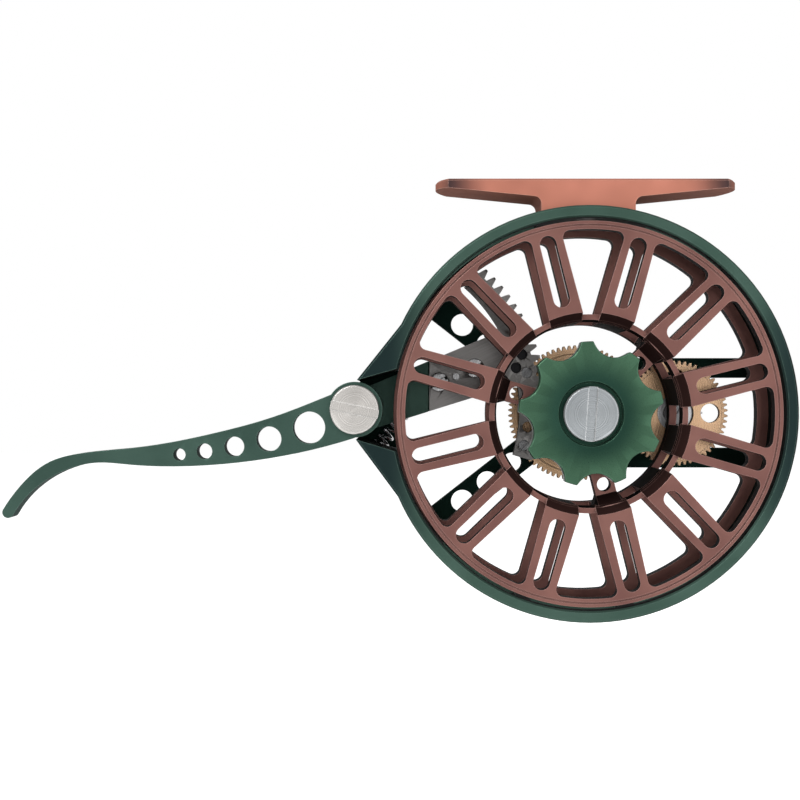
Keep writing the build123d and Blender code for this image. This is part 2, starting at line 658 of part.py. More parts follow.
def make_clutch_rollers():
    inner = SLEEVE_R + RUN
    outer = CLUTCH_R - CLUTCH_WALL - SEAT
    end = CLUTCH_L / 10
    rollers = []
    for k in range(ROLLERS):
        x, z = polar((inner + outer) / 2, 360 * k / ROLLERS)
        rollers.append(disc((outer - inner) / 2, CLUTCH_Y + end, CLUTCH_Y + CLUTCH_L - end, x, z))
    return Compound(rollers)


def make_bearing_outer():
    body = tube(BEARING_R, BALL_AT + RACE_GAP, BEARING_Y, BEARING_Y + BEARING_T)
    return body - ball_track()


def make_bearing_inner():
    body = tube(BALL_AT - RACE_GAP, SHAFT_R + SEAT, BEARING_Y, BEARING_Y + BEARING_T)
    return body - ball_track()


def ball_track():
    """The ring that the bearing's balls run in."""
    outline = Pos(BALL_AT, BEARING_Y + BEARING_T / 2) * Circle(BALL_R)
    return revolve(outline, Axis.Y)


def make_bearing_balls():
    balls = []
    for k in range(BALLS):
        x, z = polar(BALL_AT, 360 * k / BALLS)
        balls.append(Pos(x, BEARING_Y + BEARING_T / 2, z) * Sphere(BALL_R - SEAT))
    return Compound(balls)


def make_hub_circlip():
    outer = BEARING_R + CLIP_T - FACE_GAP / 2
    back = BEARING_Y - FACE_GAP / 2
    clip = tube(outer, outer - CLIP_W, back - CLIP_T, back)
    gap = slab(Pos(0, BEARING_R) * Rectangle(CLIP_GAP, 4 * CLIP_W), BEARING_Y - 1, BEARING_Y)
    return clip - gap


def make_friction_disc():
    return tube(DISC_R, LIP_R + 1.5, FRICTION_Y, FRICTION_Y + DISC_T)


def make_pressure_disc():
    return tube(DISC_R - 2 * FACE_GAP, SHAFT_R + RUN, PRESSURE_Y, PRESSURE_Y + DISC_T)


def make_cone_washer():
    """Coned spring washer between the knob and the pressure disc."""
    front = KNOB_BACK + DISC_PLAY
    back = PRESSURE_Y - DISC_PLAY
    bore = SHAFT_R + CONE_T
    outline = [
        (bore, front), (bore + CONE_T, front), (CONE_R, back - CONE_T), (CONE_R, back),
        (CONE_R - CONE_T, back), (bore, front + CONE_T),
    ]
    return turned(outline)


# ---------- spool ----------
def slot_profile():
    """The slot down the middle of a double spoke."""
    start = ARBOR_R + SLOT_IN
    end = WINDOW_R - SLOT_OUT
    return Pos((start + end) / 2, 0) * SlotOverall(end - start, SPOKE_SLOT_W)


def window_profile(inner):
    """One window between two double spokes, from radius `inner` to the rim."""
    half = 180.0 / SPOKES
    wedge = ring_sector(WINDOW_R, inner, -half, half)
    for side in (-1, 1):
        wedge -= Rot(0, 0, side * half) * Rectangle(2.5 * WINDOW_R, SPOKE_W)
    outer = wedge.vertices().filter_by(lambda v: v.center().length > WINDOW_R - 1.0)
    return fillet(outer, WINDOW_CORNER)


def around(shape, count, turn=0.0):
    return [Rot(0, 0, turn + 360.0 * k / count) * shape for k in range(count)]


def make_spool():
    """Skeleton spool: two windowed flanges, an arbor open in front, three hub arms."""
    half = 180.0 / SPOKES
    body = tube(RIM_R, ARBOR_IN_R, 0, FRONT_FLANGE_T)
    body += tube(RIM_R, ARBOR_IN_R, SPOOL_BACK - REAR_FLANGE_T, SPOOL_BACK)
    body += tube(ARBOR_R, ARBOR_IN_R, FRONT_FLANGE_T, SPOOL_BACK - REAR_FLANGE_T)
    body += disc(HUB_R, HUB_FRONT, SPOOL_BACK)
    body += slab(hub_arms(), ARM_PLANE, ARM_PLANE + ARM_T)
    rim = [e for e in front_edges(body, 0) + front_edges(body, SPOOL_BACK)
           if e.bounding_box().size.X > 2 * RIM_R - 1]
    body = chamfer(ShapeList(rim), EDGE)
    front_cut = Sketch() + around(window_profile(ARBOR_IN_R - 1), SPOKES, SPOKE_TURN)
    body -= slab(front_cut, -1, ARM_PLANE)
    rear_cut = Sketch() + around(window_profile(ARBOR_R), SPOKES, SPOKE_TURN)
    body -= slab(rear_cut, ARM_PLANE, SPOOL_BACK + 1)
    slots = Sketch() + around(slot_profile(), SPOKES, SPOKE_TURN + half)
    body -= slab(slots, -1, SPOOL_BACK + 1)
    cone = [
        (ARBOR_IN_R - 1, -1), (ARBOR_IN_R + CONE_OPEN, -1), (ARBOR_IN_R + CONE_OPEN - 0.1, 0),
        (ARBOR_IN_R, ARM_PLANE), (ARBOR_IN_R - 1, ARM_PLANE),
    ]
    body -= turned(cone)
    line_r = WINDOW_R + RIM_W / 2
    body -= tube(line_r + RIM_GROOVE / 2, line_r - RIM_GROOVE / 2, -1, RIM_GROOVE)
    body -= disc(LIP_R, HUB_FRONT - 1, SPOOL_BACK + 1)
    body -= disc(CLUTCH_R + SEAT, CLUTCH_Y, SPOOL_BACK + 1)
    body -= disc(BEARING_R + SEAT, HUB_FRONT - 1, BEARING_Y + BEARING_T)
    body -= disc(BEARING_R + CLIP_T, BEARING_Y - CLIP_T - FACE_GAP, BEARING_Y)
    return body


def hub_arms():
    """Three arms from hub to arbor, flared at their outer end, each with a round hole."""
    reach = ARBOR_IN_R + ARBOR_T / 3
    flare = reach - ARM_FLARE
    outline = [
        (HUB_R - 2, -ARM_W / 2), (flare, -ARM_W / 2), (reach, -ARM_ROOT_W / 2),
        (reach, ARM_ROOT_W / 2), (flare, ARM_W / 2), (HUB_R - 2, ARM_W / 2),
    ]
    arm = make_face(Polyline(*outline, close=True)) - Pos(ARM_HOLE_AT, 0) * Circle(ARM_HOLE_R)
    return Sketch() + around(arm, HUB_ARMS, SPOKE_TURN + ARM_TURN)


# ---------- knob ----------
def make_drag_knob():
    """Nine-lobed drag knob with a dished face and a well for the centre screw."""
    profile = Circle(KNOB_R)
    scallop = Pos(KNOB_VALLEY_R + KNOB_SCALLOP_R, 0) * Circle(KNOB_SCALLOP_R)
    for cut in around(scallop, KNOB_LOBES, KNOB_TURN + 180.0 / KNOB_LOBES):
        profile -= cut
    profile = fillet(profile.vertices(), KNOB_TIP_R)
    body = slab(profile, KNOB_FRONT, KNOB_BACK)
    body = chamfer(front_edges(body, KNOB_FRONT), EDGE)
    dish = [
        (0, KNOB_FRONT - 1), (KNOB_DISH_R, KNOB_FRONT - 1), (KNOB_DISH_R, KNOB_FRONT),
        (KNOB_WELL_R + 0.3, KNOB_FRONT + KNOB_DISH_T), (KNOB_WELL_R, KNOB_FRONT + KNOB_DISH_T + 0.3),
        (KNOB_WELL_R, SHAFT_FRONT + 0.1), (0, SHAFT_FRONT + 0.1),
    ]
    body -= turned(dish)
    body -= disc(SHAFT_R + RUN, KNOB_FRONT, KNOB_BACK + 1)
    return body


def slotted_head(radius, thickness, front, angle, x=0.0, z=0.0):
    """A large cheese head with a screwdriver slot at this angle from level."""
    head = disc(radius, front, front + thickness, x, z)
    head = chamfer(front_edges(head, front), HEAD_EDGE)
    groove = Pos(x, z) * Rot(0, 0, angle) * Rectangle(3 * radius, SLOT_W)
    return head - slab(groove, front - 1, front + SLOT_T)


def make_knob_screw():
    head = slotted_head(BUTTON_R, BUTTON_T, BUTTON_FRONT, BUTTON_TURN)
    return head + disc(TAP_R - SEAT, SHAFT_FRONT, SHAFT_FRONT + TAP_L - 1)


# ---------- lever ----------
def blade_profile():
    """The long finger lever: a slow S-curve that thins to a rounded, hooked tip."""
    upper = [(0, 5.2), (-6.9, 2.4), (-17.7, -1.7), (-28.6, -4.7), (-47.8, -8.2), (-57.8, -9.2),
             (-64.6, -11.1), (-69.8, -15.2), (-74.2, -21.0)]
    lower = [(-72.1, -22.2), (-66.2, -15.6), (-61.2, -12.8), (-54.3, -11.2), (-47.8, -11.6),
             (-37.7, -12.0), (-27.7, -11.5), (-14.1, -9.6), (0, -6.0)]
    top = Spline(*[from_pivot(*p) for p in upper])
    bottom = Spline(*[from_pivot(*p) for p in lower])
    tip = ThreePointArc(top @ 1, from_pivot(-74.1, -22.5), bottom @ 0)
    root = Line(bottom @ 1, top @ 0)
    blade = make_face([top, tip, bottom, root])
    hub = Pos(PIVOT_X, PIVOT_Z) * Circle(HUB_END_R)
    blade += hub
    for x, z, radius in LEVER_HOLES:
        blade -= Pos(*from_pivot(x, z)) * Circle(radius)
    return blade


def arm_profile(end):
    """Inner arm from the pivot to `end` along X, between its two sloping edges."""
    corners = [edge_line(ARM_TOP, 1, 0), edge_line(ARM_TOP, 1, end),
               edge_line(ARM_BOTTOM, -1, end), edge_line(ARM_BOTTOM, -1, 0)]
    return make_face(Polyline(*[from_pivot(*p) for p in corners], close=True))


def make_lever():
    """Blade in front, hub through the frame, and the inner arm behind the spool."""
    blade = slab(blade_profile(), LEVER_FRONT, LEVER_FRONT + LEVER_T)
    body = blade + disc(HUB_END_R, LEVER_FRONT, ARM_BACK, PIVOT_X, PIVOT_Z)
    thick = arm_profile(SECTOR_START - SECTOR_LAP)
    body += slab(thick, ARM_FRONT, ARM_BACK)
    thin = arm_profile(ARM_REACH) & Pos(PIVOT_X, PIVOT_Z) * Circle(ARM_REACH)
    body += slab(thin, SECTOR_Y + SECTOR_T + 2 * SEAT, ARM_BACK)
    body -= disc(PIVOT_R + BUSH_T + SEAT, 0, PLATE_Y, PIVOT_X, PIVOT_Z)
    body -= spring_bore(SPRING_HEAD, -1)
    for x, z in sector_screw_spots():
        body -= disc(SECTOR_SCREW_R + SEAT, SECTOR_Y, PLATE_Y, x, z)
    x, z = sector_pin_spot()
    body -= disc(SECTOR_PIN_R + SEAT, SECTOR_Y, PLATE_Y, x, z)
    return largest(body)


def make_lever_bushes():
    ends = ((LEVER_FRONT + 2 * SEAT, LEVER_FRONT + LEVER_BUSH_L), (ARM_BACK - LEVER_BUSH_L, ARM_BACK))
    bushes = [tube(PIVOT_R + BUSH_T, PIVOT_R + RUN, front, back, PIVOT_X, PIVOT_Z)
              for front, back in ends]
    return Compound(bushes)


def make_pivot_bolt():
    """Shoulder bolt: slotted head over the lever's hub, shank into the back plate."""
    front = LEVER_FRONT - FACE_GAP - PIVOT_HEAD_T
    head = slotted_head(PIVOT_HEAD_R, PIVOT_HEAD_T, front, PIVOT_HEAD_TURN, PIVOT_X, PIVOT_Z)
    return head + disc(PIVOT_R, front + PIVOT_HEAD_T, FRAME_BACK, PIVOT_X, PIVOT_Z)


# ---------- sector ----------
def sector_screw_spots():
    return [from_pivot(*spot) for spot in SECTOR_SCREWS]


def sector_pin_spot():
    return from_pivot(*SECTOR_PIN)


def rim_spots(places):
    return [from_pivot(*polar(SECTOR_RIM_R + out, angle)) for out, angle in places]


def sector_profile():
    """Arm plate and toothed rim of the sector, in its rest position."""
    pitch = 360.0 / SECTOR_TEETH
    mesh = TO_PIVOT - 180.0
    first = int((SECTOR_LOW - mesh) // pitch) + 1
    last = int((SECTOR_TOP - mesh) // pitch)
    teeth = toothed_line(SECTOR_TEETH, SECTOR_MODULE, first, last, mesh)
    low = mesh + pitch * (first - 0.5)
    high = mesh + pitch * (last + 0.5)
    root_r = SECTOR_MODULE * (SECTOR_TEETH / 2 - 1.25)
    inner = ThreePointArc(polar(SECTOR_RIM_R, high), polar(SECTOR_RIM_R, (low + high) / 2),
                          polar(SECTOR_RIM_R, low))
    toothed = Polyline(polar(SECTOR_RIM_R, low), polar(root_r, low), *teeth,
                       polar(root_r, high), polar(SECTOR_RIM_R, high))
    rim = Pos(PIVOT_X, PIVOT_Z) * make_face([toothed, inner])
    plate = arm_profile(root_r) - arm_profile(SECTOR_START)
    skirt = Pos(PIVOT_X, PIVOT_Z) * ring_sector(root_r, SECTOR_RIM_R - SKIRT_W, *SKIRT)
    reach = Pos(PIVOT_X, PIVOT_Z) * Circle(root_r)
    return rim + ((plate + skirt) & reach)


def make_sector():
    body = slab(sector_profile(), SECTOR_Y, SECTOR_Y + SECTOR_T)
    for x, z in sector_screw_spots():
        body -= screw_shape(SEAT, x, z)
    x, z = sector_pin_spot()
    body -= disc(SECTOR_PIN_R + SEAT, SECTOR_Y - 1, SECTOR_Y + SECTOR_T + 1, x, z)
    for x, z in rim_spots(RIM_SCREWS + RIM_HOLES):
        body -= disc(RIM_SCREW_R + SEAT, SECTOR_Y - 1, SECTOR_Y + SECTOR_T + 1, x, z)
    return body


def screw_shape(gap, x, z):
    """A countersunk screw through the sector into the lever's arm."""
    front = SECTOR_Y + HEAD_SINK
    head_t = SECTOR_SCREW_HEAD_R - SECTOR_SCREW_R
    end = ARM_BACK - HEAD_SINK
    outline = [
        (0, front), (SECTOR_SCREW_HEAD_R + gap, front), (SECTOR_SCREW_R + gap, front + head_t),
        (SECTOR_SCREW_R + gap, end), (0, end),
    ]
    shape = turned(outline, x, z)
    if gap:
        shape += disc(SECTOR_SCREW_HEAD_R + gap, front - 1, front, x, z)
    return shape


def make_sector_screws():
    screws = []
    for x, z in sector_screw_spots():
        bar = Pos(x, z) * Rot(0, 0, 30) * Rectangle(3 * SECTOR_SCREW_HEAD_R, DRIVE_W)
        screws.append(screw_shape(0, x, z) - slab(bar, SECTOR_Y, SECTOR_Y + HEAD_SINK + 0.5))
    return Compound(screws)


def make_sector_pin():
    x, z = sector_pin_spot()
    return disc(SECTOR_PIN_R, SECTOR_Y + HEAD_SINK, ARM_BACK - HEAD_SINK, x, z)


def make_rim_screws():
    """Two short set screws in the sector's rim."""
    screws = []
    front = SECTOR_Y + 3 * HEAD_SINK
    for x, z in rim_spots(RIM_SCREWS):
        screw = disc(RIM_SCREW_R, front, SECTOR_Y + SECTOR_T - HEAD_SINK / 2, x, z)
        drive = Pos(x, z) * Rot(0, 0, 50) * Rectangle(3 * RIM_SCREW_R, DRIVE_W * 0.7)
        screws.append(screw - slab(drive, SECTOR_Y, front + DRIVE_W * 0.7))
    return Compound(screws)


# ---------- return spring ----------
def spring_plane(end, side):
    """Plane at one end of the spring, facing the other end when `side` is 1."""
    run_x = SPRING_HEAD[0] - SPRING_FOOT[0]
    run_z = SPRING_HEAD[1] - SPRING_FOOT[1]
    x, z = from_pivot(*end)
    return Plane(origin=(x, SPRING_Y, z), x_dir=(0, 1, 0), z_dir=(side * run_x, 0, side * run_z))


def spring_bore(end, side):
    """Blind seat for one end of the spring, a little wider than the coil."""
    return extrude(spring_plane(end, side) * Circle(SPRING_R + SPRING_PLAY), amount=SPRING_BORE_L)


def make_return_spring():
    run_x = SPRING_HEAD[0] - SPRING_FOOT[0]
    run_z = SPRING_HEAD[1] - SPRING_FOOT[1]
    length = sqrt(run_x**2 + run_z**2) - 2 * (SPRING_WIRE + SPRING_END)
    mean_r = SPRING_R - SPRING_WIRE
    path = Helix(pitch=length / SPRING_TURNS, height=length, radius=mean_r)
    section = Plane(origin=path @ 0, z_dir=path % 0) * Circle(SPRING_WIRE)
    coil = sweep(section, path=path, is_frenet=True)
    place = spring_plane(SPRING_FOOT, 1).offset(SPRING_WIRE + SPRING_END)
    return place.location * coil


NODES = {
    "frame": make_frame,
    "back_plate": make_back_plate,
    "plate_screws": make_plate_screws,
    "foot": make_foot,
    "foot_screws": make_foot_screws,
    "main_shaft": make_main_shaft,
    "shaft_nut": make_shaft_nut,
    "idler_axle": make_idler_axle,
    "idler_nut": make_idler_nut,
    "idler_screw": make_idler_screw,
    "first_gear": make_first_gear,
    "drive_pinion": make_drive_pinion,
    "first_bush": make_first_bush,
    "idler_gear": make_idler_gear,
    "idler_pinion": make_idler_pinion,
    "spool_pinion": make_spool_pinion,
    "thrust_washers": make_thrust_washers,
    "clutch_cup": make_clutch_cup,
    "clutch_rollers": make_clutch_rollers,
    "bearing_outer": make_bearing_outer,
    "bearing_inner": make_bearing_inner,
    "bearing_balls": make_bearing_balls,
    "hub_circlip": make_hub_circlip,
    "friction_disc": make_friction_disc,
    "pressure_disc": make_pressure_disc,
    "cone_washer": make_cone_washer,
    "spool": make_spool,
    "drag_knob": make_drag_knob,
    "knob_screw": make_knob_screw,
    "lever": make_lever,
    "lever_bushes": make_lever_bushes,
    "pivot_bolt": make_pivot_bolt,
    "sector": make_sector,
    "sector_screws": make_sector_screws,
    "sector_pin": make_sector_pin,
    "rim_screws": make_rim_screws,
    "return_spring": make_return_spring,
}

to_seat = Pos(0, -(FOOT_Y + FOOT_W / 2), -FOOT_TOP)
os.makedirs("parts", exist_ok=True)
for name, make in NODES.items():
    export_step(to_seat * make(), "parts/" + name + ".step")
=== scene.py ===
import bpy
import bmesh
import json
import math
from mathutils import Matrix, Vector

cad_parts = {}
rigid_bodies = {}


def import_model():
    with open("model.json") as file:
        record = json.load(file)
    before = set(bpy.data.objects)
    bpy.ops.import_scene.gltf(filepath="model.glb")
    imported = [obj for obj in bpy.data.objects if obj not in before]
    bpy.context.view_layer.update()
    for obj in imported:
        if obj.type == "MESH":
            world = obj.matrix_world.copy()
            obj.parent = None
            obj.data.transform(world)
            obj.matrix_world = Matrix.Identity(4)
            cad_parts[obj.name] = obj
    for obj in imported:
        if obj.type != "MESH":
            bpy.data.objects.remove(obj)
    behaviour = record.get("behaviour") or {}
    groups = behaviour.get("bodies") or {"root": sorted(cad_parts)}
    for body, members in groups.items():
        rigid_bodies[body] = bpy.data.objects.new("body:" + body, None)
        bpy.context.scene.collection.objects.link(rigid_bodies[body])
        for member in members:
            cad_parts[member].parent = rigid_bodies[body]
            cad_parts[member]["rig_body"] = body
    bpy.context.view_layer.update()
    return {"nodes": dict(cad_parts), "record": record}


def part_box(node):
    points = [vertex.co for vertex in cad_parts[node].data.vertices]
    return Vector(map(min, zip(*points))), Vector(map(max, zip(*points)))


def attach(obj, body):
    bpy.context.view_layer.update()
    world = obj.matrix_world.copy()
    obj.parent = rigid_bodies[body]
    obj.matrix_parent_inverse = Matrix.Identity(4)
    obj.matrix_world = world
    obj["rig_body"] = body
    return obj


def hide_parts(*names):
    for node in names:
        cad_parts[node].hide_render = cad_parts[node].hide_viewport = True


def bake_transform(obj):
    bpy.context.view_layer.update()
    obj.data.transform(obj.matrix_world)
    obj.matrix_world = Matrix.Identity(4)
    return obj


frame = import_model()
NODES = frame["nodes"]

# A lever-driven fly reel, dressed over its CAD solids. Lengths are millimetres
# from the reel's own axis: X along the rod, Z up, Y back from the front face of
# the ring. AXIS carries them to the foot's seat. The camera, the lamps and the
# floor are in metres from the foot's seat.
MM = 0.001
METRE = 1000.0  # a metre in millimetres
AXIS = Vector((0.0, -9.75, -49.9))
ROUND = 2 * math.pi  # a whole turn
PIVOT_X, PIVOT_Z = -49.592, 0.89  # the lever's pivot
IDLER_X = 21.6  # the idler gear's axle
SCREW_CIRCLE = 42.65  # radius of the circle of the back plate's screws
SECTOR_RIM = 36.5  # radius of the sector's rim about the pivot
LAP = 0.05  # how far joined solids run into each other
THIN_LAP = 0.01
LOOKS_ROUNDED = 0.18  # how far the edges look rounded
GRAIN_HEIGHT = 0.06  # relief of the satin grain
LINE_HEIGHT = 0.05  # relief of the turned and brushed lines
HARD_EDGE = 28.0  # degrees from which an edge is rounded
CREASE = 30.0  # degrees from which an edge is shaded sharp

SLOTS = {part["node"]: part["material_slot"] for part in frame["record"]["subparts"]}

# How far the edges of the pieces that keep their solid's shape are rounded.
ROUNDED = {
    "frame": 0.1, "back_plate": 0.1, "lever": 0.12, "foot": 0.15,
    "knob_screw": 0.12, "pivot_bolt": 0.12, "sector": 0.06,
    "drive_pinion": 0.04, "sector_screws": 0.05,
}

# Pieces whose finish isn't the usual one of their slot.
OWN_FINISH = {
    "lever": "lever_green", "foot": "foot_copper", "pivot_bolt": "pivot_silver",
    "foot_screws": "black_steel", "return_spring_finished": "spring_steel",
}


def at(x, y, z):
    """A place given from the reel's axis, in metres from the foot's seat."""
    return (Vector((x, y, z)) + AXIS) * MM


REEL_AXIS = at(0.0, 0.0, 0.0)
PIVOT = at(PIVOT_X, 0.0, PIVOT_Z)


# ---------- node trees ----------
class Amount:
    """What a node gives; numbers among them are reckoned with ordinary signs."""

    def __init__(self, tree, socket):
        self.tree = tree
        self.socket = socket

    def __add__(self, other):
        return maths("ADD", self, other)

    def __sub__(self, other):
        return maths("SUBTRACT", self, other)

    def __rsub__(self, other):
        return maths("SUBTRACT", other, self)

    def __mul__(self, other):
        return maths("MULTIPLY", self, other)

    def __truediv__(self, other):
        return maths("DIVIDE", self, other)

    def __rtruediv__(self, other):
        return maths("DIVIDE", other, self)

    def __neg__(self):
        return maths("MULTIPLY", self, -1.0)

    def __gt__(self, other):
        return maths("GREATER_THAN", self, other)

    def __lt__(self, other):
        return maths("LESS_THAN", self, other)


def feed(tree, socket, value):
    """Sets a socket to a plain value, or joins it to what another node gives."""
    if isinstance(value, Amount):
        tree.links.new(value.socket, socket)
    else:
        socket.default_value = value


def maths(operation, *values, kind="ShaderNodeMath", result=0):
    """One Math node; at least one of its values is an Amount."""
    tree = [value.tree for value in values if isinstance(value, Amount)][0]
    node = tree.nodes.new(kind)
    node.operation = operation
    for socket, value in zip(node.inputs, values):
        feed(tree, socket, value)
    return Amount(tree, node.outputs[result])


def add(tree, kind, settings=None, **values):
    """Adds a node: `settings` are its options, and `values` feed its sockets by name.

    Returns what it gives by name; where two outputs share a name, the first counts.
    """
    node = tree.nodes.new(kind)
    for label, value in (settings or {}).items():
        setattr(node, label, value)
    for label, value in values.items():
        feed(tree, node.inputs[label.replace("_", " ")], value)
    return {socket.name: Amount(tree, socket) for socket in reversed(list(node.outputs))}


def point(tree, x, y, z):
    return add(tree, "ShaderNodeCombineXYZ", X=x, Y=y, Z=z)["Vector"]


def length(x, z):
    return maths("SQRT", x * x + z * z)


def spread(value, low, high, to_low=0.0, to_high=1.0, smooth=False):
    """Carries a value from the range low..high to another, and stops at its ends."""
    kind = {"interpolation_type": "SMOOTHSTEP"} if smooth else None
    return add(value.tree, "ShaderNodeMapRange", kind, Value=value, From_Min=low, From_Max=high,
               To_Min=to_low, To_Max=to_high)["Result"]


# ---------- camera, light and floor ----------
def make_camera():
    data = bpy.data.cameras.new("camera")
    data.sensor_width = 36.0
    data.lens = 68.5
    data.clip_start = 0.01
    camera = bpy.data.objects.new("camera", data)
    camera.location = (-0.03998, -0.32975, -0.04697)
    camera.rotation_euler = (math.radians(90.0), 0.0, 0.0)
    bpy.context.scene.collection.objects.link(camera)
    bpy.context.scene.camera = camera


def make_lamp(name, place, size, power):
    """A rectangular lamp that is aimed at the middle of the reel."""
    middle = Vector((0.0, 0.0, -0.047))
    data = bpy.data.lights.new(name, "AREA")
    data.shape = "RECTANGLE"
    data.size, data.size_y = size
    data.energy = power
    lamp = bpy.data.objects.new(name, data)
    lamp.location = place
    lamp.rotation_euler = (middle - Vector(place)).to_track_quat("-Z", "Y").to_euler()
    bpy.context.scene.collection.objects.link(lamp)


def seen_rays(tree, other, seen):
    """The value `seen` for camera, mirror and glass rays, and `other` for all the rest."""
    rays = add(tree, "ShaderNodeLightPath")
    either = maths("MAXIMUM", rays["Is Camera Ray"], rays["Is Glossy Ray"])
    either = maths("MAXIMUM", either, rays["Is Transmission Ray"])
    return spread(either, 0.0, 1.0, other, seen)


def make_world():
    """White where the camera, metal and glass see it, and a softer level on dull surfaces."""
    world = bpy.data.worlds.new("studio")
    bpy.context.scene.world = world
    world.use_nodes = True
    tree = world.node_tree
    background = tree.nodes["Background"]
    background.inputs["Color"].default_value = (1.0, 1.0, 1.0, 1.0)
    feed(tree, background.inputs["Strength"], seen_rays(tree, 0.35, 1.0))


def make_floor():
    """A wide pale sheet below the reel, white to the camera except for the shadow on it."""
    mesh = bpy.data.meshes.new("floor")
    half, height = 3.0, -0.165
    corners = [(-half, -half, height), (half, -half, height), (half, half, height), (-half, half, height)]
    mesh.from_pydata(corners, [], [(0, 1, 2, 3)])
    floor = bpy.data.objects.new("floor", mesh)
    bpy.context.scene.collection.objects.link(floor)
    material = bpy.data.materials.new("pale_floor")
    material.use_nodes = True
    tree = material.node_tree
    shader = tree.nodes["Principled BSDF"]
    shader.inputs["Base Color"].default_value = (0.93, 0.93, 0.93, 1.0)
    shader.inputs["Roughness"].default_value = 0.9
    shader.inputs["Specular IOR Level"].default_value = 0.1
    shader.inputs["Emission Color"].default_value = (1.0, 1.0, 1.0, 1.0)
    feed(tree, shader.inputs["Emission Strength"], seen_rays(tree, 0.0, 0.8))
    mesh.materials.append(material)


# ---------- shader groups ----------
def new_group(name, inputs, outputs):
    """A shader node group with its sockets; returns the tree and what comes into it."""
    tree = bpy.data.node_groups.new(name, "ShaderNodeTree")
    for label, value in inputs.items():
        tree.interface.new_socket(label, in_out="INPUT", socket_type="NodeSocketFloat").default_value = value
    for label in outputs:
        kind = "NodeSocketVector" if label == "Normal" else "NodeSocketFloat"
        tree.interface.new_socket(label, in_out="OUTPUT", socket_type=kind)
    return tree, add(tree, "NodeGroupInput")


def end_group(tree, **values):
    add(tree, "NodeGroupOutput", **values)
    return tree


def object_place(tree):
    """The place on the object, whole and as X, Y and Z."""
    place = add(tree, "ShaderNodeTexCoord")["Object"]
    return place, add(tree, "ShaderNodeSeparateXYZ", Vector=place)


def from_axis(tree, centre_x, centre_z):
    """How far a place lies along X and Z from an axis along Y."""
    _, xyz = object_place(tree)
    return xyz["X"] - centre_x, xyz["Z"] - centre_z


def noise(tree, where, scale, detail, flat=False):
    """Noise along a line where `flat`, and otherwise in space."""
    kind, socket = ("1D", "W") if flat else ("3D", "Vector")
    return add(tree, "ShaderNodeTexNoise", {"noise_dimensions": kind}, Detail=detail, Scale=scale,
               **{socket: where})["Fac"]


def bump(tree, height, strength, distance):
    """Fine relief over edges that look slightly rounded."""
    rounded = add(tree, "ShaderNodeBevel", {"samples": 4}, Radius=LOOKS_ROUNDED * MM)["Normal"]
    return add(tree, "ShaderNodeBump", Height=height, Strength=strength, Distance=distance * MM,
               Normal=rounded)["Normal"]


def satin_group():
    """Fine satin grain of a blasted and anodised surface."""
    tree, given = new_group(
        "satin grain", {"Grain mm": 0.12, "Depth": 0.2, "Cloud mm": 12.0}, ("Normal", "Grain", "Cloud"))
    place, _ = object_place(tree)
    fine = noise(tree, place, METRE / given["Grain mm"], 3.0)
    cloud = noise(tree, place, METRE / given["Cloud mm"], 2.0)
    return end_group(tree, Normal=bump(tree, fine, given["Depth"], GRAIN_HEIGHT), Grain=fine, Cloud=cloud)


def turned_group():
    """Concentric tool lines about an axis along Y."""
    tree, given = new_group(
        "turned lines", {"Centre X": 0.0, "Centre Z": 0.0, "Pitch mm": 0.3, "Depth": 0.2},
        ("Normal", "Lines"))
    radius = length(*from_axis(tree, given["Centre X"], given["Centre Z"]))
    lines = noise(tree, radius, METRE / given["Pitch mm"], 3.0, flat=True)
    return end_group(tree, Normal=bump(tree, lines, given["Depth"], LINE_HEIGHT), Lines=lines)


def brushed_group():
    """Straight brushing lines along one direction in the XZ plane."""
    tree, given = new_group(
        "brushed lines", {"Angle": 0.0, "Pitch mm": 0.25, "Depth": 0.2}, ("Normal", "Lines"))
    _, xyz = object_place(tree)
    cosine, sine = maths("COSINE", given["Angle"]), maths("SINE", given["Angle"])
    across = xyz["Z"] * cosine - xyz["X"] * sine
    along = xyz["X"] * cosine + xyz["Z"] * sine
    stretched = point(tree, across, xyz["Y"] * 0.3, along * 0.03)
    lines = noise(tree, stretched, METRE / given["Pitch mm"], 3.0)
    return end_group(tree, Normal=bump(tree, lines, given["Depth"], LINE_HEIGHT), Lines=lines)


def edge_wear_and_highlight_group():
    """Mask of the outer edges: wear where handling has polished the finish, and a painted highlight along
    them.
    """
    tree, given = new_group("edge wear and painted highlight", {"Width mm": 0.25, "Amount": 1.0, "Patch mm": 3.0}, ("Mask",))
    place, _ = object_place(tree)
    rounded = add(tree, "ShaderNodeBevel", {"samples": 4}, Radius=given["Width mm"] * MM)["Normal"]
    plain = add(tree, "ShaderNodeNewGeometry")["Normal"]
    turn = 1.0 - maths("DOT_PRODUCT", rounded, plain, kind="ShaderNodeVectorMath", result=1)
    patch = noise(tree, place, METRE / given["Patch mm"], 3.0)
    mask = turn * 4.0 * (patch + 0.4) * given["Amount"]
    return end_group(tree, Mask=add(tree, "ShaderNodeClamp", Value=mask)["Result"])


def wall_shade_group():
    """Masks of painted shade: on the walls that run back from a front face, and on those that face the reel's
    axis.
    """
    tree, _ = new_group("painted wall shade", {}, ("Walls", "Inward"))
    faces = add(tree, "ShaderNodeSeparateXYZ", Vector=add(tree, "ShaderNodeTexCoord")["Normal"])
    walls = spread(maths("ABSOLUTE", faces["Y"]), 0.85, 0.35, smooth=True)
    dx, dz = from_axis(tree, REEL_AXIS.x, REEL_AXIS.z)
    inward = dx * faces["X"] + dz * faces["Z"] < 0.0
    return end_group(tree, Walls=walls, Inward=inward * walls)


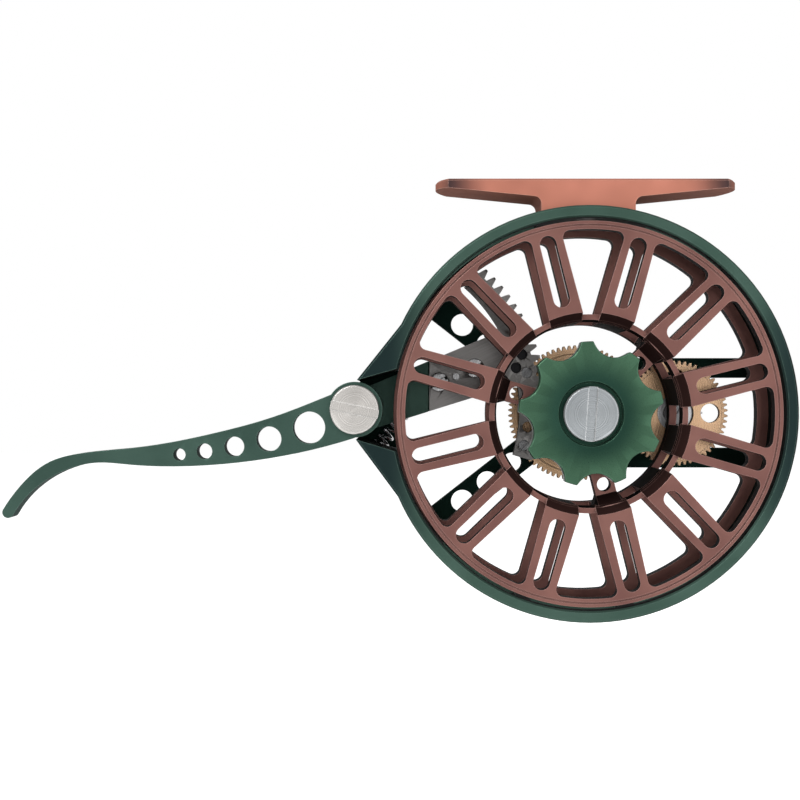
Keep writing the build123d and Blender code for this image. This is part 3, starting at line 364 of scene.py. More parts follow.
def shade_fade_group(measure):
    """Mask of painted shade that rises between two distances, along X either way or out from the reel's axis.
    """
    tree, given = new_group("painted shade along " + measure, {"Near mm": 20.0, "Far mm": 30.0}, ("Mask",))
    if measure == "X":
        distance = maths("ABSOLUTE", object_place(tree)[1]["X"])
    else:
        distance = length(*from_axis(tree, REEL_AXIS.x, REEL_AXIS.z))
    return end_group(tree, Mask=spread(distance * METRE, given["Near mm"], given["Far mm"], smooth=True))


SATIN = satin_group()
TURNED = turned_group()
BRUSHED = brushed_group()
EDGE_WEAR_AND_HIGHLIGHT = edge_wear_and_highlight_group()
PAINTED_WALL_SHADE = wall_shade_group()
SHADE_FADE_X = shade_fade_group("X")
SHADE_FADE_RADIUS = shade_fade_group("radius")


# ---------- finishes ----------
FINISH = {}


def use_group(tree, group, **values):
    """Places a shader group in a material, with its own values."""
    return add(tree, "ShaderNodeGroup", {"node_tree": group}, **values)


def mix(tree, factor, one, two):
    """A colour between two others."""
    node = tree.nodes.new("ShaderNodeMix")
    node.data_type = "RGBA"
    feed(tree, node.inputs["Factor"], factor)
    for socket, colour in zip(node.inputs[6:8], (one, two)):
        feed(tree, socket, (*colour, 1.0) if isinstance(colour, tuple) else colour)
    return Amount(tree, node.outputs[2])


def metal(name, dark, light, edge, rough, lines=None, metallic=1.0, graze=1.0, wall=None, inner=None,
          ends=None, dish=None, streak=0.0):
    """A machined metal: its colour drifts between `dark` and `light`; edges go to `edge`, for edge wear and a
    painted highlight.

    `graze` tints what it mirrors at a flat angle. `wall` is a painted shade on the walls
    that run back from a front face, and `inner` a painted shade on the walls that face the
    reel's axis. `ends` holds the distances along X, either way, between which the colour
    fades to a painted shade; `dish` paints shade in the same way towards the reel's axis.
    `streak` stretches highlights across the turned lines.
    """
    material = bpy.data.materials.new(name)
    material.use_nodes = True
    tree = material.node_tree
    shader = tree.nodes["Principled BSDF"]
    shader.inputs["Metallic"].default_value = metallic
    satin = use_group(tree, SATIN)
    colour = mix(tree, spread(satin["Cloud"], 0.35, 0.65), dark, light)
    normal, gloss = satin["Normal"], satin["Grain"]
    if lines:
        kind, values = lines
        marks = use_group(tree, kind, **values)
        normal, gloss = marks["Normal"], marks["Lines"]
        colour = mix(tree, 0.5, colour, mix(tree, spread(gloss, 0.3, 0.7), dark, light))
    # Painted shade: towards the ends along X, and for `dish` towards the reel's axis.
    if ends:
        near, far, shade = ends
        fade = use_group(tree, SHADE_FADE_X, Near_mm=near, Far_mm=far)
        colour = mix(tree, fade["Mask"], colour, shade)
    if dish:
        near, far, shade = dish
        fade = use_group(tree, SHADE_FADE_RADIUS, Near_mm=far, Far_mm=near)
        colour = mix(tree, fade["Mask"], colour, shade)
    roughness = spread(gloss, 0.3, 0.7, rough - 0.05, rough + 0.05)
    # Painted shade on the walls, darker on those that face the reel's axis.
    if wall or inner:
        wall_shade_masks = use_group(tree, PAINTED_WALL_SHADE)
        if wall:
            colour = mix(tree, wall_shade_masks["Walls"], colour, wall)
        if inner:
            colour = mix(tree, wall_shade_masks["Inward"], colour, inner)
        dull = wall_shade_masks["Walls" if wall else "Inward"]
        roughness = maths("MAXIMUM", roughness, dull * 0.8)
        feed(tree, shader.inputs["Metallic"], spread(dull, 0.0, 1.0, metallic, 0.0))
        shader.inputs["Specular IOR Level"].default_value = 0.15
    # The edges take `edge`: edge wear, and a painted highlight along them.
    wear_and_highlight = use_group(tree, EDGE_WEAR_AND_HIGHLIGHT)
    feed(tree, shader.inputs["Base Color"], mix(tree, wear_and_highlight["Mask"], colour, edge))
    feed(tree, shader.inputs["Roughness"], roughness)
    feed(tree, shader.inputs["Normal"], normal)
    shader.inputs["Specular Tint"].default_value = (graze, graze, graze, 1.0)
    if streak:
        dx, dz = from_axis(tree, values["Centre_X"], values["Centre_Z"])
        round_way = maths("NORMALIZE", point(tree, dz, 0.0, -dx), kind="ShaderNodeVectorMath")
        shader.inputs["Anisotropic"].default_value = streak
        feed(tree, shader.inputs["Tangent"], round_way)
    FINISH[name] = material


def rings(centre, pitch, depth):
    return TURNED, {"Centre_X": centre.x, "Centre_Z": centre.z, "Pitch_mm": pitch, "Depth": depth}


def brushing(angle, pitch, depth):
    return BRUSHED, {"Angle": math.radians(angle), "Pitch_mm": pitch, "Depth": depth}


def make_finishes():
    anodised = {"metallic": 0.5, "graze": 0.1}
    # The `wall`, `inner`, `ends` and `dish` colours below are painted shade; `edge` is edge wear with a
    # painted highlight.
    metal("green_anodised", (0.043, 0.080, 0.063), (0.056, 0.100, 0.080), (0.13, 0.21, 0.175), 0.34,
          inner=(0.006, 0.010, 0.009), ends=(32.0, 43.0, (0.014, 0.026, 0.026)), **anodised)
    metal("lever_green", (0.040, 0.074, 0.060), (0.052, 0.094, 0.076), (0.13, 0.21, 0.175), 0.34,
          wall=(0.018, 0.036, 0.030), **anodised)
    # The near-black of this dark green is painted shade of the deep back parts.
    metal("dark_green_anodised", (0.006, 0.018, 0.014), (0.010, 0.028, 0.021), (0.03, 0.07, 0.055), 0.38,
          wall=(0.004, 0.008, 0.007), **anodised)
    metal("knob_green", (0.040, 0.092, 0.056), (0.052, 0.116, 0.070), (0.15, 0.30, 0.20), 0.30,
          dish=(7.0, 13.0, (0.014, 0.042, 0.029)), **anodised)
    metal("copper_anodised", (0.160, 0.076, 0.066), (0.212, 0.103, 0.087), (0.46, 0.27, 0.24), 0.36,
          wall=(0.062, 0.022, 0.019), inner=(0.004, 0.003, 0.003), **anodised)
    metal("foot_copper", (0.42, 0.165, 0.116), (0.52, 0.205, 0.145), (0.75, 0.42, 0.34), 0.34,
          wall=(0.30, 0.12, 0.085), ends=(20.0, 30.0, (0.06, 0.036, 0.036)), **anodised)
    metal("brass", (0.44, 0.28, 0.16), (0.64, 0.42, 0.27), (0.88, 0.72, 0.52), 0.28,
          lines=rings(REEL_AXIS, 0.25, 0.15), wall=(0.20, 0.11, 0.06))
    metal("bronze", (0.40, 0.24, 0.12), (0.5, 0.31, 0.16), (0.7, 0.5, 0.3), 0.35)
    metal("steel", (0.40, 0.40, 0.41), (0.56, 0.56, 0.56), (0.8, 0.8, 0.8), 0.30,
          lines=rings(REEL_AXIS, 0.25, 0.15))
    metal("sector_steel", (0.17, 0.163, 0.158), (0.28, 0.27, 0.262), (0.60, 0.58, 0.56), 0.40,
          lines=brushing(25.0, 0.3, 0.2), wall=(0.05, 0.048, 0.045))
    metal("dark_steel", (0.16, 0.16, 0.165), (0.26, 0.26, 0.265), (0.5, 0.5, 0.5), 0.35)
    metal("black_steel", (0.012, 0.012, 0.014), (0.02, 0.02, 0.022), (0.08, 0.08, 0.08), 0.3,
          metallic=0.6, graze=0.4)
    metal("silver", (0.235, 0.25, 0.262), (0.33, 0.35, 0.36), (0.75, 0.75, 0.75), 0.24,
          lines=rings(REEL_AXIS, 0.22, 0.3), wall=(0.2, 0.2, 0.2), streak=0.8)
    metal("pivot_silver", (0.40, 0.38, 0.36), (0.54, 0.52, 0.495), (0.85, 0.84, 0.82), 0.24,
          lines=rings(PIVOT, 0.22, 0.3), wall=(0.2, 0.2, 0.2), streak=0.8)
    metal("spring_steel", (0.34, 0.34, 0.35), (0.55, 0.55, 0.56), (0.8, 0.8, 0.8), 0.25)
    metal("friction", (0.03, 0.026, 0.022), (0.05, 0.045, 0.04), (0.07, 0.06, 0.05), 0.8, metallic=0.0)


# ---------- pieces worked up from their solids ----------
def merged_copy(node, name):
    """The node's solid as one closed mesh."""
    mesh = NODES[node].data.copy()
    mesh.name = name
    work = bmesh.new()
    work.from_mesh(mesh)
    bmesh.ops.remove_doubles(work, verts=work.verts, dist=2e-7)
    work.to_mesh(mesh)
    work.free()
    mesh.materials.clear()
    piece = bpy.data.objects.new(name, mesh)
    bpy.context.scene.collection.objects.link(piece)
    return piece


def bake(piece):
    """Replaces a piece's modifiers by the mesh that they make."""
    graph = bpy.context.evaluated_depsgraph_get()
    made = bpy.data.meshes.new_from_object(piece.evaluated_get(graph))
    piece.modifiers.clear()
    old = piece.data
    piece.data = made
    bpy.data.meshes.remove(old)


def soften(piece, width):
    """Rounds the hard edges a little and bakes the result."""
    for face in piece.data.polygons:
        face.use_smooth = True
    bevel = piece.modifiers.new("rounded edges", "BEVEL")
    bevel.width = width * MM
    bevel.segments = 2
    bevel.limit_method = "ANGLE"
    bevel.angle_limit = math.radians(HARD_EDGE)
    bevel.miter_outer = "MITER_ARC"
    evened = piece.modifiers.new("even shading", "WEIGHTED_NORMAL")
    evened.keep_sharp = True
    bake(piece)


def dress(node, slot, width):
    """Stands a softened copy of the node in its place, on the same body."""
    piece = merged_copy(node, node + "_finished")
    soften(piece, width)
    piece.data.materials.clear()
    piece.data.materials.append(FINISH[OWN_FINISH.get(node, slot)])
    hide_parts(node)
    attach(piece, NODES[node]["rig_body"])


def paint(node, slot):
    """Gives a CAD node its finish without changing its shape."""
    mesh = NODES[node].data
    mesh.materials.clear()
    mesh.materials.append(FINISH[OWN_FINISH.get(node, slot)])


# ---------- outlines and solids in Geometry Nodes ----------
def new_shape(name, sizes):
    """A Geometry Nodes tree with named inputs for its sizes; returns it with what comes into it."""
    tree = bpy.data.node_groups.new(name, "GeometryNodeTree")
    tree.interface.new_socket("Geometry", in_out="OUTPUT", socket_type="NodeSocketGeometry")
    tree.interface.new_socket("Places", in_out="INPUT", socket_type="NodeSocketGeometry")
    tree.interface.new_socket("Finish", in_out="INPUT", socket_type="NodeSocketMaterial")
    for label, value in sizes.items():
        kind = "NodeSocketInt" if isinstance(value, int) else "NodeSocketFloat"
        tree.interface.new_socket(label, in_out="INPUT", socket_type=kind).default_value = value
    return tree, add(tree, "NodeGroupInput")


def end_shape(tree, given, body, turn=(0.0, 0.0, 0.0)):
    """Ends a tree with a real copy of the body at each place, about the reel's axis and in its finish."""
    spots = add(tree, "GeometryNodeMeshToPoints", Mesh=given["Places"])["Points"]
    copies = add(tree, "GeometryNodeInstanceOnPoints", Points=spots, Instance=body,
                 Rotation=turn)["Instances"]
    moved = add(tree, "GeometryNodeTransform", Geometry=copies, Translation=REEL_AXIS,
                Scale=(MM, MM, MM))["Geometry"]
    real = add(tree, "GeometryNodeRealizeInstances", Geometry=moved)["Geometry"]
    made = add(tree, "GeometryNodeSetMaterial", Geometry=real, Material=given["Finish"])["Geometry"]
    add(tree, "NodeGroupOutput", Geometry=made)
    return tree


def choose(index, values):
    """One of several values, by an index."""
    tree = index.tree
    node = tree.nodes.new("GeometryNodeIndexSwitch")
    node.data_type = "FLOAT"
    while len(node.index_switch_items) < len(values):
        node.index_switch_items.new()
    for socket, value in zip(node.inputs, [index, *values]):
        feed(tree, socket, value)
    return Amount(tree, node.outputs[0])


def turned_point(radius, angle):
    """x and y of a point at this radius and angle."""
    return radius * maths("COSINE", angle), radius * maths("SINE", angle)


def circle(radius, x=0.0, steps=96):
    """A round outline in the drawing plane."""
    tree = radius.tree
    ring = add(tree, "GeometryNodeCurvePrimitiveCircle", Resolution=steps, Radius=radius)["Curve"]
    return add(tree, "GeometryNodeTransform", Geometry=ring, Translation=point(tree, x, 0.0, 0.0))["Geometry"]


def by_index(tree, steps, place):
    """A closed outline of `steps` points; `place` gives each point's x and y from its index."""
    ring = add(tree, "GeometryNodeCurvePrimitiveCircle", Resolution=steps)["Curve"]
    x, y = place(add(tree, "GeometryNodeInputIndex")["Index"])
    return add(tree, "GeometryNodeSetPosition", Geometry=ring, Position=point(tree, x, y, 0.0))["Geometry"]


def join(*parts):
    """Several geometries as one."""
    tree = parts[0].tree
    whole = tree.nodes.new("GeometryNodeJoinGeometry")
    for part in reversed(parts):
        tree.links.new(part.socket, whole.inputs[0])
    return Amount(tree, whole.outputs[0])


def around(outline, count, turn):
    """Copies turned about the origin of the drawing plane."""
    tree = outline.tree
    spots = add(tree, "GeometryNodePoints", Count=count)["Points"]
    angle = add(tree, "GeometryNodeInputIndex")["Index"] * ROUND / count + turn
    copies = add(tree, "GeometryNodeInstanceOnPoints", Points=spots, Instance=outline,
                 Rotation=point(tree, 0.0, 0.0, angle))["Instances"]
    return add(tree, "GeometryNodeRealizeInstances", Geometry=copies)["Geometry"]


def slab(outlines, front, back):
    """Closed outlines, the inner ones holes, made solid from depth `front` to `back`."""
    tree = outlines[0].tree
    face = add(tree, "GeometryNodeFillCurve", {"mode": "NGONS"}, Curve=join(*outlines))["Mesh"]
    pulled = add(tree, "GeometryNodeExtrudeMesh", Mesh=face, Offset=point(tree, 0.0, 0.0, front - back),
                 Offset_Scale=1.0, Individual=False)["Mesh"]
    pulled = add(tree, "GeometryNodeFlipFaces", Mesh=pulled)["Mesh"]
    body = add(tree, "GeometryNodeMergeByDistance", Geometry=join(face, pulled), Distance=0.0005)["Geometry"]
    sunk = point(tree, 0.0, 0.0, -front)
    body = add(tree, "GeometryNodeTransform", Geometry=body, Translation=sunk)["Geometry"]
    return add(tree, "GeometryNodeTransform", Geometry=body, Rotation=(math.pi / 2, 0.0, 0.0))["Geometry"]


def grow(name, tree, slot, body, places=((0.0, 0.0, 0.0),), **values):
    """Runs a tree on the points `places` and stands the baked mesh on its body, if it has just one."""
    mesh = bpy.data.meshes.new(name)
    mesh.from_pydata([Vector(place) for place in places], [], [])
    piece = bpy.data.objects.new(name, mesh)
    bpy.context.scene.collection.objects.link(piece)
    modifier = piece.modifiers.new("shape", "NODES")
    modifier.node_group = tree
    values["Finish"] = FINISH[OWN_FINISH.get(name, slot)]
    for item in tree.interface.items_tree:
        label = item.name.replace(" ", "_")
        if item.in_out == "INPUT" and label in values:
            modifier[item.identifier] = values[label]
    bake(piece)
    for face in piece.data.polygons:
        face.use_smooth = True
    piece.data.set_sharp_from_angle(angle=math.radians(CREASE))
    if body:
        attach(piece, body)
    return piece


def depth_of(node):
    """A node's front and back, in millimetres from the ring's front face."""
    low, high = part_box(node)
    return (low[1] - REEL_AXIS.y) / MM, (high[1] - REEL_AXIS.y) / MM


# ---------- the skeleton spool ----------
def spool_tree():
    """The skeleton spool: two flanges with double spokes, an open arbor and three hub arms."""
    tree, given = new_shape("skeleton spool", {
        "Spokes": 12, "Turn": -0.0192, "Rim radius": 40.68, "Rear rim radius": 41.42, "Groove radius": 39.8,
        "Groove": 0.35, "Window radius": 38.9, "Spoke width": 6.7, "Corner": 1.5, "Slot width": 3.5,
        "Slot start": 23.1, "Slot end": 38.5, "Front flange": 3.0, "Rear front": 16.3, "Back": 19.5,
        "Arbor radius": 21.1, "Arbor bore": 19.5, "Neck": 2.4, "Neck back": 4.2, "Bar half angle": 0.155,
        "Recess radius": 21.4, "Recess floor": 17.6, "Recess depth": 6.3, "Arms": 3, "Arm turn": 0.766,
        "Arm width": 4.5, "Arm root width": 7.9, "Arm back": 10.3, "Arm hole": 1.5, "Arm hole distance": 15.6,
        "Hub radius": 8.6, "Hub bore": 6.02, "Hub front": 3.65})
    half = math.pi / given["Spokes"]
    spoke_turn = given["Turn"] + half
    window_steps, end_steps, slot_steps, bar_steps = 8, 4, 12, 6
    period = window_steps + end_steps + 2

    def side_angle(radius):
        """Angle from a window's middle to the side of its spoke, at this radius."""
        return half - maths("ARCSINE", given["Spoke width"] * 0.5 / radius)

    def spoked(inner):
        """The inner outline of a flange: windows, and the spokes' ends at radius `inner`."""
        high, low = side_angle(given["Window radius"]), side_angle(inner)

        def place(index):
            number = maths("FLOOR", index / period)
            step = index - number * period
            at_end = step > window_steps + 0.5
            over_window = high * (step / (window_steps / 2) - 1.0)
            over_spoke = low + (half * 2.0 - low * 2.0) * ((step - (window_steps + 1.0)) / end_steps)
            angle = choose(at_end, [over_window, over_spoke])
            radius = choose(at_end, [given["Window radius"], inner])
            return turned_point(radius, number * (half * 2.0) + given["Turn"] + angle)

        line = by_index(tree, given["Spokes"] * period, place)
        step = maths("MODULO", add(tree, "GeometryNodeInputIndex")["Index"], period)
        corner = (step < 0.5) + (maths("ABSOLUTE", step - window_steps) < 0.5)
        return add(tree, "GeometryNodeFilletCurve", {"mode": "POLY"}, Curve=line, Count=6,
                   Radius=corner * given["Corner"], Limit_Radius=True)["Curve"]

    def slot_place(index):
        """A slot with round ends, drawn from its outer end."""
        second = index > slot_steps + 0.5
        step = index - second * (slot_steps + 1.0)
        angle = step * (math.pi / slot_steps) + (second - 0.5) * math.pi
        radius = given["Slot width"] * 0.5
        x, y = turned_point(radius, angle)
        return x + choose(second, [given["Slot end"] - radius, given["Slot start"] + radius]), y

    def bar_place(index):
        """A bar of the arbor, drawn along its outer side and back along its inner one."""
        second = index > bar_steps + 0.5
        step = index - second * (bar_steps + 1.0)
        angle = (step / (bar_steps / 2) - 1.0) * (1.0 - second * 2.0) * given["Bar half angle"]
        return turned_point(choose(second, [given["Arbor radius"], given["Arbor bore"]]), angle)

    def tongue(*corners):
        """An outline even about X, from the x and half width of the corners along one side."""
        both = corners + corners[::-1]

        def place(index):
            side = (index > len(corners) - 0.5) * 2.0 - 1.0
            return choose(index, [x for x, _ in both]), choose(index, [y for _, y in both]) * side

        return by_index(tree, len(both), place)

    def edge(radius):
        return circle(radius, steps=240)

    flange, rear, back, neck = given["Front flange"], given["Rear front"], given["Back"], given["Neck"]
    line_out = given["Groove radius"] + given["Groove"] * 0.5
    line_in = given["Groove radius"] - given["Groove"] * 0.5
    slots = around(by_index(tree, 2 * (slot_steps + 1), slot_place), given["Spokes"], spoke_turn)
    bars = around(by_index(tree, 2 * (bar_steps + 1), bar_place), given["Spokes"], spoke_turn)
    wall = (circle(given["Arbor radius"], steps=144), circle(given["Arbor bore"], steps=144))
    floor, depth = given["Recess floor"], given["Recess depth"]
    start = given["Hub radius"] - 1.0
    root = given["Arbor radius"] - 0.5
    thin, wide = given["Arm width"] * 0.5, given["Arm root width"] * 0.5
    arms, holes, roots = (around(outline, given["Arms"], given["Arm turn"]) for outline in (
        tongue((start, thin), (floor, thin), (root, wide)),
        circle(given["Arm hole"], given["Arm hole distance"], 32),
        tongue((floor, thin), (root, wide))))
    body = join(
        slab((edge(given["Rim radius"]), edge(line_out)), 0.0, flange),
        slab((edge(line_out + THIN_LAP), edge(line_in - THIN_LAP)), given["Groove"], flange - LAP),
        slab((edge(line_in), spoked(given["Arbor bore"]), slots), 0.0, flange),
        slab((edge(given["Rear rim radius"]), spoked(given["Arbor radius"] - 2 * LAP), slots), rear, back),
        slab(wall, neck, given["Neck back"]),
        slab(wall, rear - 2 * LAP, back - 2 * THIN_LAP),
        slab((bars,), given["Neck back"] - 2 * LAP, rear),
        slab((circle(given["Hub radius"]), circle(given["Hub bore"])), given["Hub front"], back),
        slab((arms, holes), depth, given["Arm back"]),
        slab((roots,), neck, depth + LAP))

    # The recess in front is coned: what stands inside the cone leans back to it.
    place = add(tree, "ShaderNodeSeparateXYZ", Vector=add(tree, "GeometryNodeInputPosition")["Position"])
    radius = length(place["X"], place["Z"])
    cone = given["Recess radius"] - (given["Recess radius"] - floor) / depth * place["Y"]
    inside = (radius < cone) * (place["Y"] < depth - 2 * LAP) * (radius > given["Hub radius"] + 1.0)
    leaned = point(tree, place["X"] * (cone / radius), place["Y"], place["Z"] * (cone / radius))
    body = add(tree, "GeometryNodeSetPosition", Geometry=body, Selection=inside, Position=leaned)["Geometry"]
    return end_shape(tree, given, body)


def grow_spool():
    """The spool, over its solid."""
    piece = grow("spool_finished", spool_tree(), "copper_anodised", "spool_body")
    soften(piece, 0.08)
    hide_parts("spool")


# ---------- the drag knob ----------
def knob_tree():
    """A lobed knob about Y: its rim is a circle with round hollows, its face is dished."""
    tree, given = new_shape("lobed knob", {
        "Lobes": 9, "Steps": 720, "Tip radius": 15.2, "Valley radius": 12.5, "Hollow radius": 4.4,
        "Blend": 1.9, "Turn": 0.0, "Front": -3.0, "Back": 1.4, "Chamfer": 0.35, "Face dish": 0.35,
        "Dish radius": 8.5, "Dish depth": 0.7, "Well radius": 6.6, "Well floor": -1.0, "Well rounding": 0.3,
        "Bore radius": 2.55})
    rows = 11
    grid = add(tree, "GeometryNodeMeshGrid", Vertices_X=given["Steps"] + 1.0, Vertices_Y=rows)["Mesh"]
    index = add(tree, "GeometryNodeInputIndex")["Index"]
    column = maths("FLOOR", index / rows)
    angle = column * ROUND / given["Steps"]
    pitch = ROUND / given["Lobes"]
    off = maths("FLOORED_MODULO", angle - given["Turn"], pitch) - pitch * 0.5
    hollow_r = given["Hollow radius"]
    centre = given["Valley radius"] + hollow_r
    across = centre * maths("SINE", off)
    room = hollow_r * hollow_r - across * across
    reach = maths("SQRT", maths("MAXIMUM", room, 0.0))
    beyond = maths("MAXIMUM", -room, 0.0)
    hollow = centre * maths("COSINE", off) - reach + beyond
    rim = maths("SMOOTH_MIN", given["Tip radius"], hollow, given["Blend"])

    front, back, chamfer = given["Front"], given["Back"], given["Chamfer"]
    bore, well, rounding = given["Bore radius"], given["Well radius"], given["Well rounding"]
    dish = front + given["Dish depth"]
    profile = [
        (bore, given["Well floor"]), (well, given["Well floor"]), (well, dish + rounding),
        (well + rounding, dish), (given["Dish radius"], front + given["Face dish"]), (rim - chamfer, front),
        (rim - chamfer * 0.3, front + chamfer * 0.3), (rim, front + chamfer), (rim, back - chamfer),
        (rim - chamfer, back), (bore, back)]
    row = index - column * rows
    x, z = turned_point(choose(row, [radius for radius, _ in profile]), angle)
    place = point(tree, x, choose(row, [depth for _, depth in profile]), z)
    body = add(tree, "GeometryNodeSetPosition", Geometry=grid, Position=place)["Geometry"]
    body = add(tree, "GeometryNodeMergeByDistance", Geometry=body, Distance=0.001)["Geometry"]
    return end_shape(tree, given, body)


def grow_knob():
    """The drag knob, over its solid."""
    piece = grow("drag_knob_finished", knob_tree(), "knob_green", "knob_body", Turn=math.radians(13.5))
    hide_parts("drag_knob")


# ---------- the gear train ----------
# A tooth's corners: out from the pitch circle in modules, and round from its middle in pitches.
TOOTH_OUT = [-1.2, 0.0, 0.85, 0.85, 0.0, -1.2]
TOOTH_ROUND = [-0.36, -0.235, -0.11, 0.11, 0.235, 0.36]


def gear_tree(name, kind):
    """A spur gear about Y with a raised disc and holes, a thinner web, or a sleeve in front."""
    tree, given = new_shape(name, {
        "Teeth": 57, "Module": 0.4, "Front": 0.0, "Back": 1.8, "Bore radius": 4.0, "Turn": 0.0,
        "Disc radius": 10.4, "Disc step": 0.25, "Hole radius": 2.13, "Hole distance": 7.74, "Holes": 4,
        "Web radius": 13.4, "Web hub radius": 6.2, "Web cut": 0.5,
        "Sleeve radius": 4.0, "Sleeve front": -5.0, "Sleeve bore": 2.54})
    corners = len(TOOTH_OUT)

    def tooth(index):
        number = maths("FLOOR", index / corners)
        corner = index - number * corners
        radius = given["Module"] * given["Teeth"] * 0.5 + given["Module"] * choose(corner, TOOTH_OUT)
        angle = (number + choose(corner, TOOTH_ROUND)) * (ROUND / given["Teeth"])
        return turned_point(radius, angle + given["Turn"])

    rim = by_index(tree, given["Teeth"] * corners, tooth)
    front, back = given["Front"], given["Back"]
    bore = circle(given["Bore radius"])
    if kind == "disc":
        hole = circle(given["Hole radius"], given["Hole distance"], 32)
        holes = around(hole, given["Holes"], 0.0)
        low = front + given["Disc step"]
        body = join(slab((rim, bore, holes), low, back),
                    slab((circle(given["Disc radius"]), bore, holes), front, low + LAP))
    elif kind == "web":
        low = front + given["Web cut"]
        body = join(slab((rim, circle(given["Web radius"])), front, back),
                    slab((circle(given["Web radius"] + LAP), bore), low, back - LAP),
                    slab((circle(given["Web hub radius"]), bore), front, low + LAP))
    else:
        pipe = (circle(given["Sleeve radius"]), circle(given["Sleeve bore"]))
        body = join(slab((rim, bore), front, back), slab(pipe, given["Sleeve front"], front + LAP))
    return end_shape(tree, given, body)


def grow_gear(node, kind, x, **sizes):
    """A toothed wheel whose axle is `x` from the reel's axis, over its solid."""
    tree = gear_tree(node + " gear", kind)
    piece = grow(node + "_finished", tree, SLOTS[node], NODES[node]["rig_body"],
                 places=((x, 0.0, 0.0),), **sizes)
    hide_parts(node)


def grow_gears():
    """The train's gears and pinions; the pinions are turned by half a tooth, into the gears' gaps."""
    axle, bush, shaft = 2.04, 4.01, 2.54
    first, back = depth_of("first_gear")
    grow_gear("first_gear", "web", 0.0, Teeth=75, Front=first, Back=back, Bore_radius=bush)
    idler, back = depth_of("idler_gear")
    grow_gear("idler_gear", "disc", IDLER_X, Teeth=57, Front=idler, Back=back, Bore_radius=bush, Turn=math.pi)
    sleeve, back = depth_of("idler_pinion")
    grow_gear("idler_pinion", "sleeve", IDLER_X, Teeth=33, Front=first, Back=back, Bore_radius=axle,
              Turn=math.pi + math.pi / 33, Sleeve_front=sleeve, Sleeve_bore=axle)
    sleeve, back = depth_of("spool_pinion")
    grow_gear("spool_pinion", "sleeve", 0.0, Teeth=51, Front=idler + 0.4, Back=back, Bore_radius=shaft,
              Turn=math.pi / 51, Sleeve_front=sleeve, Sleeve_bore=shaft)


# ---------- screws, painted hole shade and the return spring ---
def screw_tree():
    """Countersunk screws with a straight slot, one at each place, their heads to the back."""
    tree, given = new_shape("slotted screws", {
        "Head radius": 1.35, "Stem radius": 0.8, "Head height": 0.55, "Stem length": 5.0,
        "Slot width": 0.45, "Slot depth": 0.35, "Slot turn": 0.0})
    head = add(tree, "GeometryNodeMeshCone", Vertices=32, Radius_Top=given["Head radius"],
               Radius_Bottom=given["Stem radius"], Depth=given["Head height"])["Mesh"]
    stem = add(tree, "GeometryNodeMeshCylinder", Vertices=24, Radius=given["Stem radius"],
               Depth=given["Stem length"])["Mesh"]
    stem = add(tree, "GeometryNodeTransform", Geometry=stem,
               Translation=point(tree, 0.0, 0.0, given["Stem length"] * -0.5))["Geometry"]
    size = point(tree, given["Head radius"] * 3.0, given["Slot width"], given["Slot depth"] * 2.0)
    bar = add(tree, "GeometryNodeMeshCube", Size=size)["Mesh"]
    bar = add(tree, "GeometryNodeTransform", Geometry=bar, Rotation=point(tree, 0.0, 0.0, given["Slot turn"]),
              Translation=point(tree, 0.0, 0.0, given["Head height"]))["Geometry"]
    slotted = add(tree, "GeometryNodeMeshBoolean", {"operation": "DIFFERENCE"}, Mesh_1=head,
                  Mesh_2=bar)["Mesh"]
    return end_shape(tree, given, join(stem, slotted), (-math.pi / 2, 0.0, 0.0))


def hole_shade_disc_tree():
    """Black discs of painted shade on the floors of blind holes, one at each place."""
    tree, given = new_shape("hole floors", {"Radius": 1.25, "Thickness": 0.5})
    return end_shape(tree, given, slab((circle(given["Radius"], steps=32),), 0.0, given["Thickness"]))


def spot(radius, degrees, depth, x=0.0, z=0.0):
    """A place at this radius and angle about an axis along Y through x and z."""
    return x + radius * math.cos(math.radians(degrees)), depth, z + radius * math.sin(math.radians(degrees))


def grow_screws():
    """The back plate's screws, and black discs of painted shade on the floors of two blind holes in the
    sector's rim.
    """
    head_height, hole_depth = 0.55, 1.3
    front, back = depth_of("plate_screws")
    turns = (142.0, 218.0, 90.0, 270.0, 14.6, -14.6)
    places = [spot(SCREW_CIRCLE, turn, back - head_height) for turn in turns]
    piece = grow("plate_screws_finished", screw_tree(), "black_steel", "frame_body", places=places,
                 Head_height=head_height, Stem_length=back - front - head_height, Slot_turn=0.6)
    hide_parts("plate_screws")
    depth = depth_of("sector")[0] + hole_depth
    holes = ((2.5, 18.4), (0.4, 14.6))  # how far out from the rim, and the angle about the pivot
    places = [spot(SECTOR_RIM + out, turn, depth, PIVOT_X, PIVOT_Z) for out, turn in holes]
    # Black discs of painted shade in the sector's two blind holes.
    grow("sector_hole_floors", hole_shade_disc_tree(), "black_steel", "lever_body", places=places)


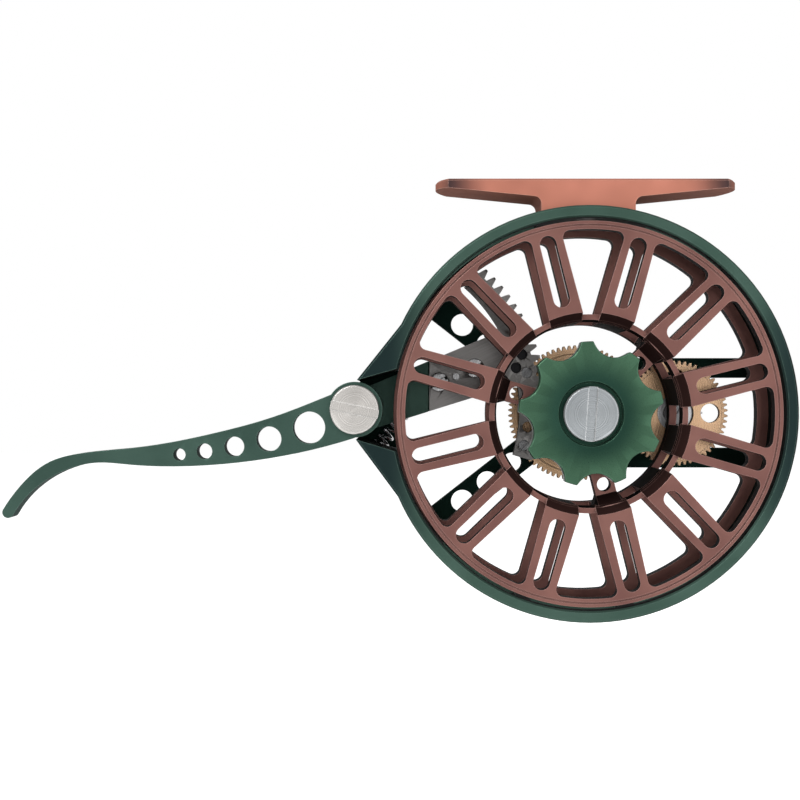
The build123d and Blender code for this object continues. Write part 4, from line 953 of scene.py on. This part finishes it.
def spring_tree():
    """A coil along Z whose end turns lie close together."""
    tree, given = new_shape("coil spring", {
        "Radius": 1.5, "Wire": 0.32, "Turns": 8.0, "Length": 10.0, "Lean": 0.0, "Steps": 240})
    line = add(tree, "GeometryNodeCurvePrimitiveLine", End=(0.0, 0.0, 1.0))["Curve"]
    line = add(tree, "GeometryNodeResampleCurve", Curve=line, Count=given["Steps"])["Curve"]
    share = add(tree, "GeometryNodeSplineParameter")["Factor"]
    close = given["Wire"] * 2.1 * given["Turns"]
    height = close * share + (given["Length"] - close) * spread(share, 0.12, 0.88, smooth=True)
    x, y = turned_point(given["Radius"], share * given["Turns"] * ROUND)
    coil = add(tree, "GeometryNodeSetPosition", Geometry=line, Position=point(tree, x, y, height))["Geometry"]
    ring = add(tree, "GeometryNodeCurvePrimitiveCircle", Resolution=12, Radius=given["Wire"])["Curve"]
    wire = add(tree, "GeometryNodeCurveToMesh", Curve=coil, Profile_Curve=ring, Fill_Caps=True)["Mesh"]
    return end_shape(tree, given, wire, point(tree, 0.0, given["Lean"], 0.0))


def grow_spring():
    """The lever's return spring, from its foot in the frame to its head at the lever."""
    front, back = depth_of("return_spring")
    middle = (front + back) / 2
    foot = Vector((PIVOT_X + 4.6, middle, PIVOT_Z - 8.8))
    head = Vector((PIVOT_X + 11.0, middle, PIVOT_Z + 0.1))
    way = head - foot
    piece = grow("return_spring_finished", spring_tree(), "black_steel", None,
                 places=(foot,), Length=way.length, Lean=math.atan2(way.x, way.z))
    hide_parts("return_spring")
    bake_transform(piece)


# ---------- the whole reel ----------
make_camera()
make_world()
make_floor()
make_lamp("key", (-0.35, -0.45, 0.35), (0.4, 0.4), 3.2)
make_lamp("fill", (0.40, -0.50, 0.00), (0.5, 0.5), 1.2)
make_lamp("back", (0.0, 0.5, 0.45), (0.6, 0.4), 1.2)
bpy.context.scene.view_settings.view_transform = "Standard"

make_finishes()
for name, slot in SLOTS.items():
    paint(name, slot)
for name, width in ROUNDED.items():
    dress(name, SLOTS[name], width)
grow_knob()
grow_spring()
grow_gears()
grow_spool()
grow_screws()
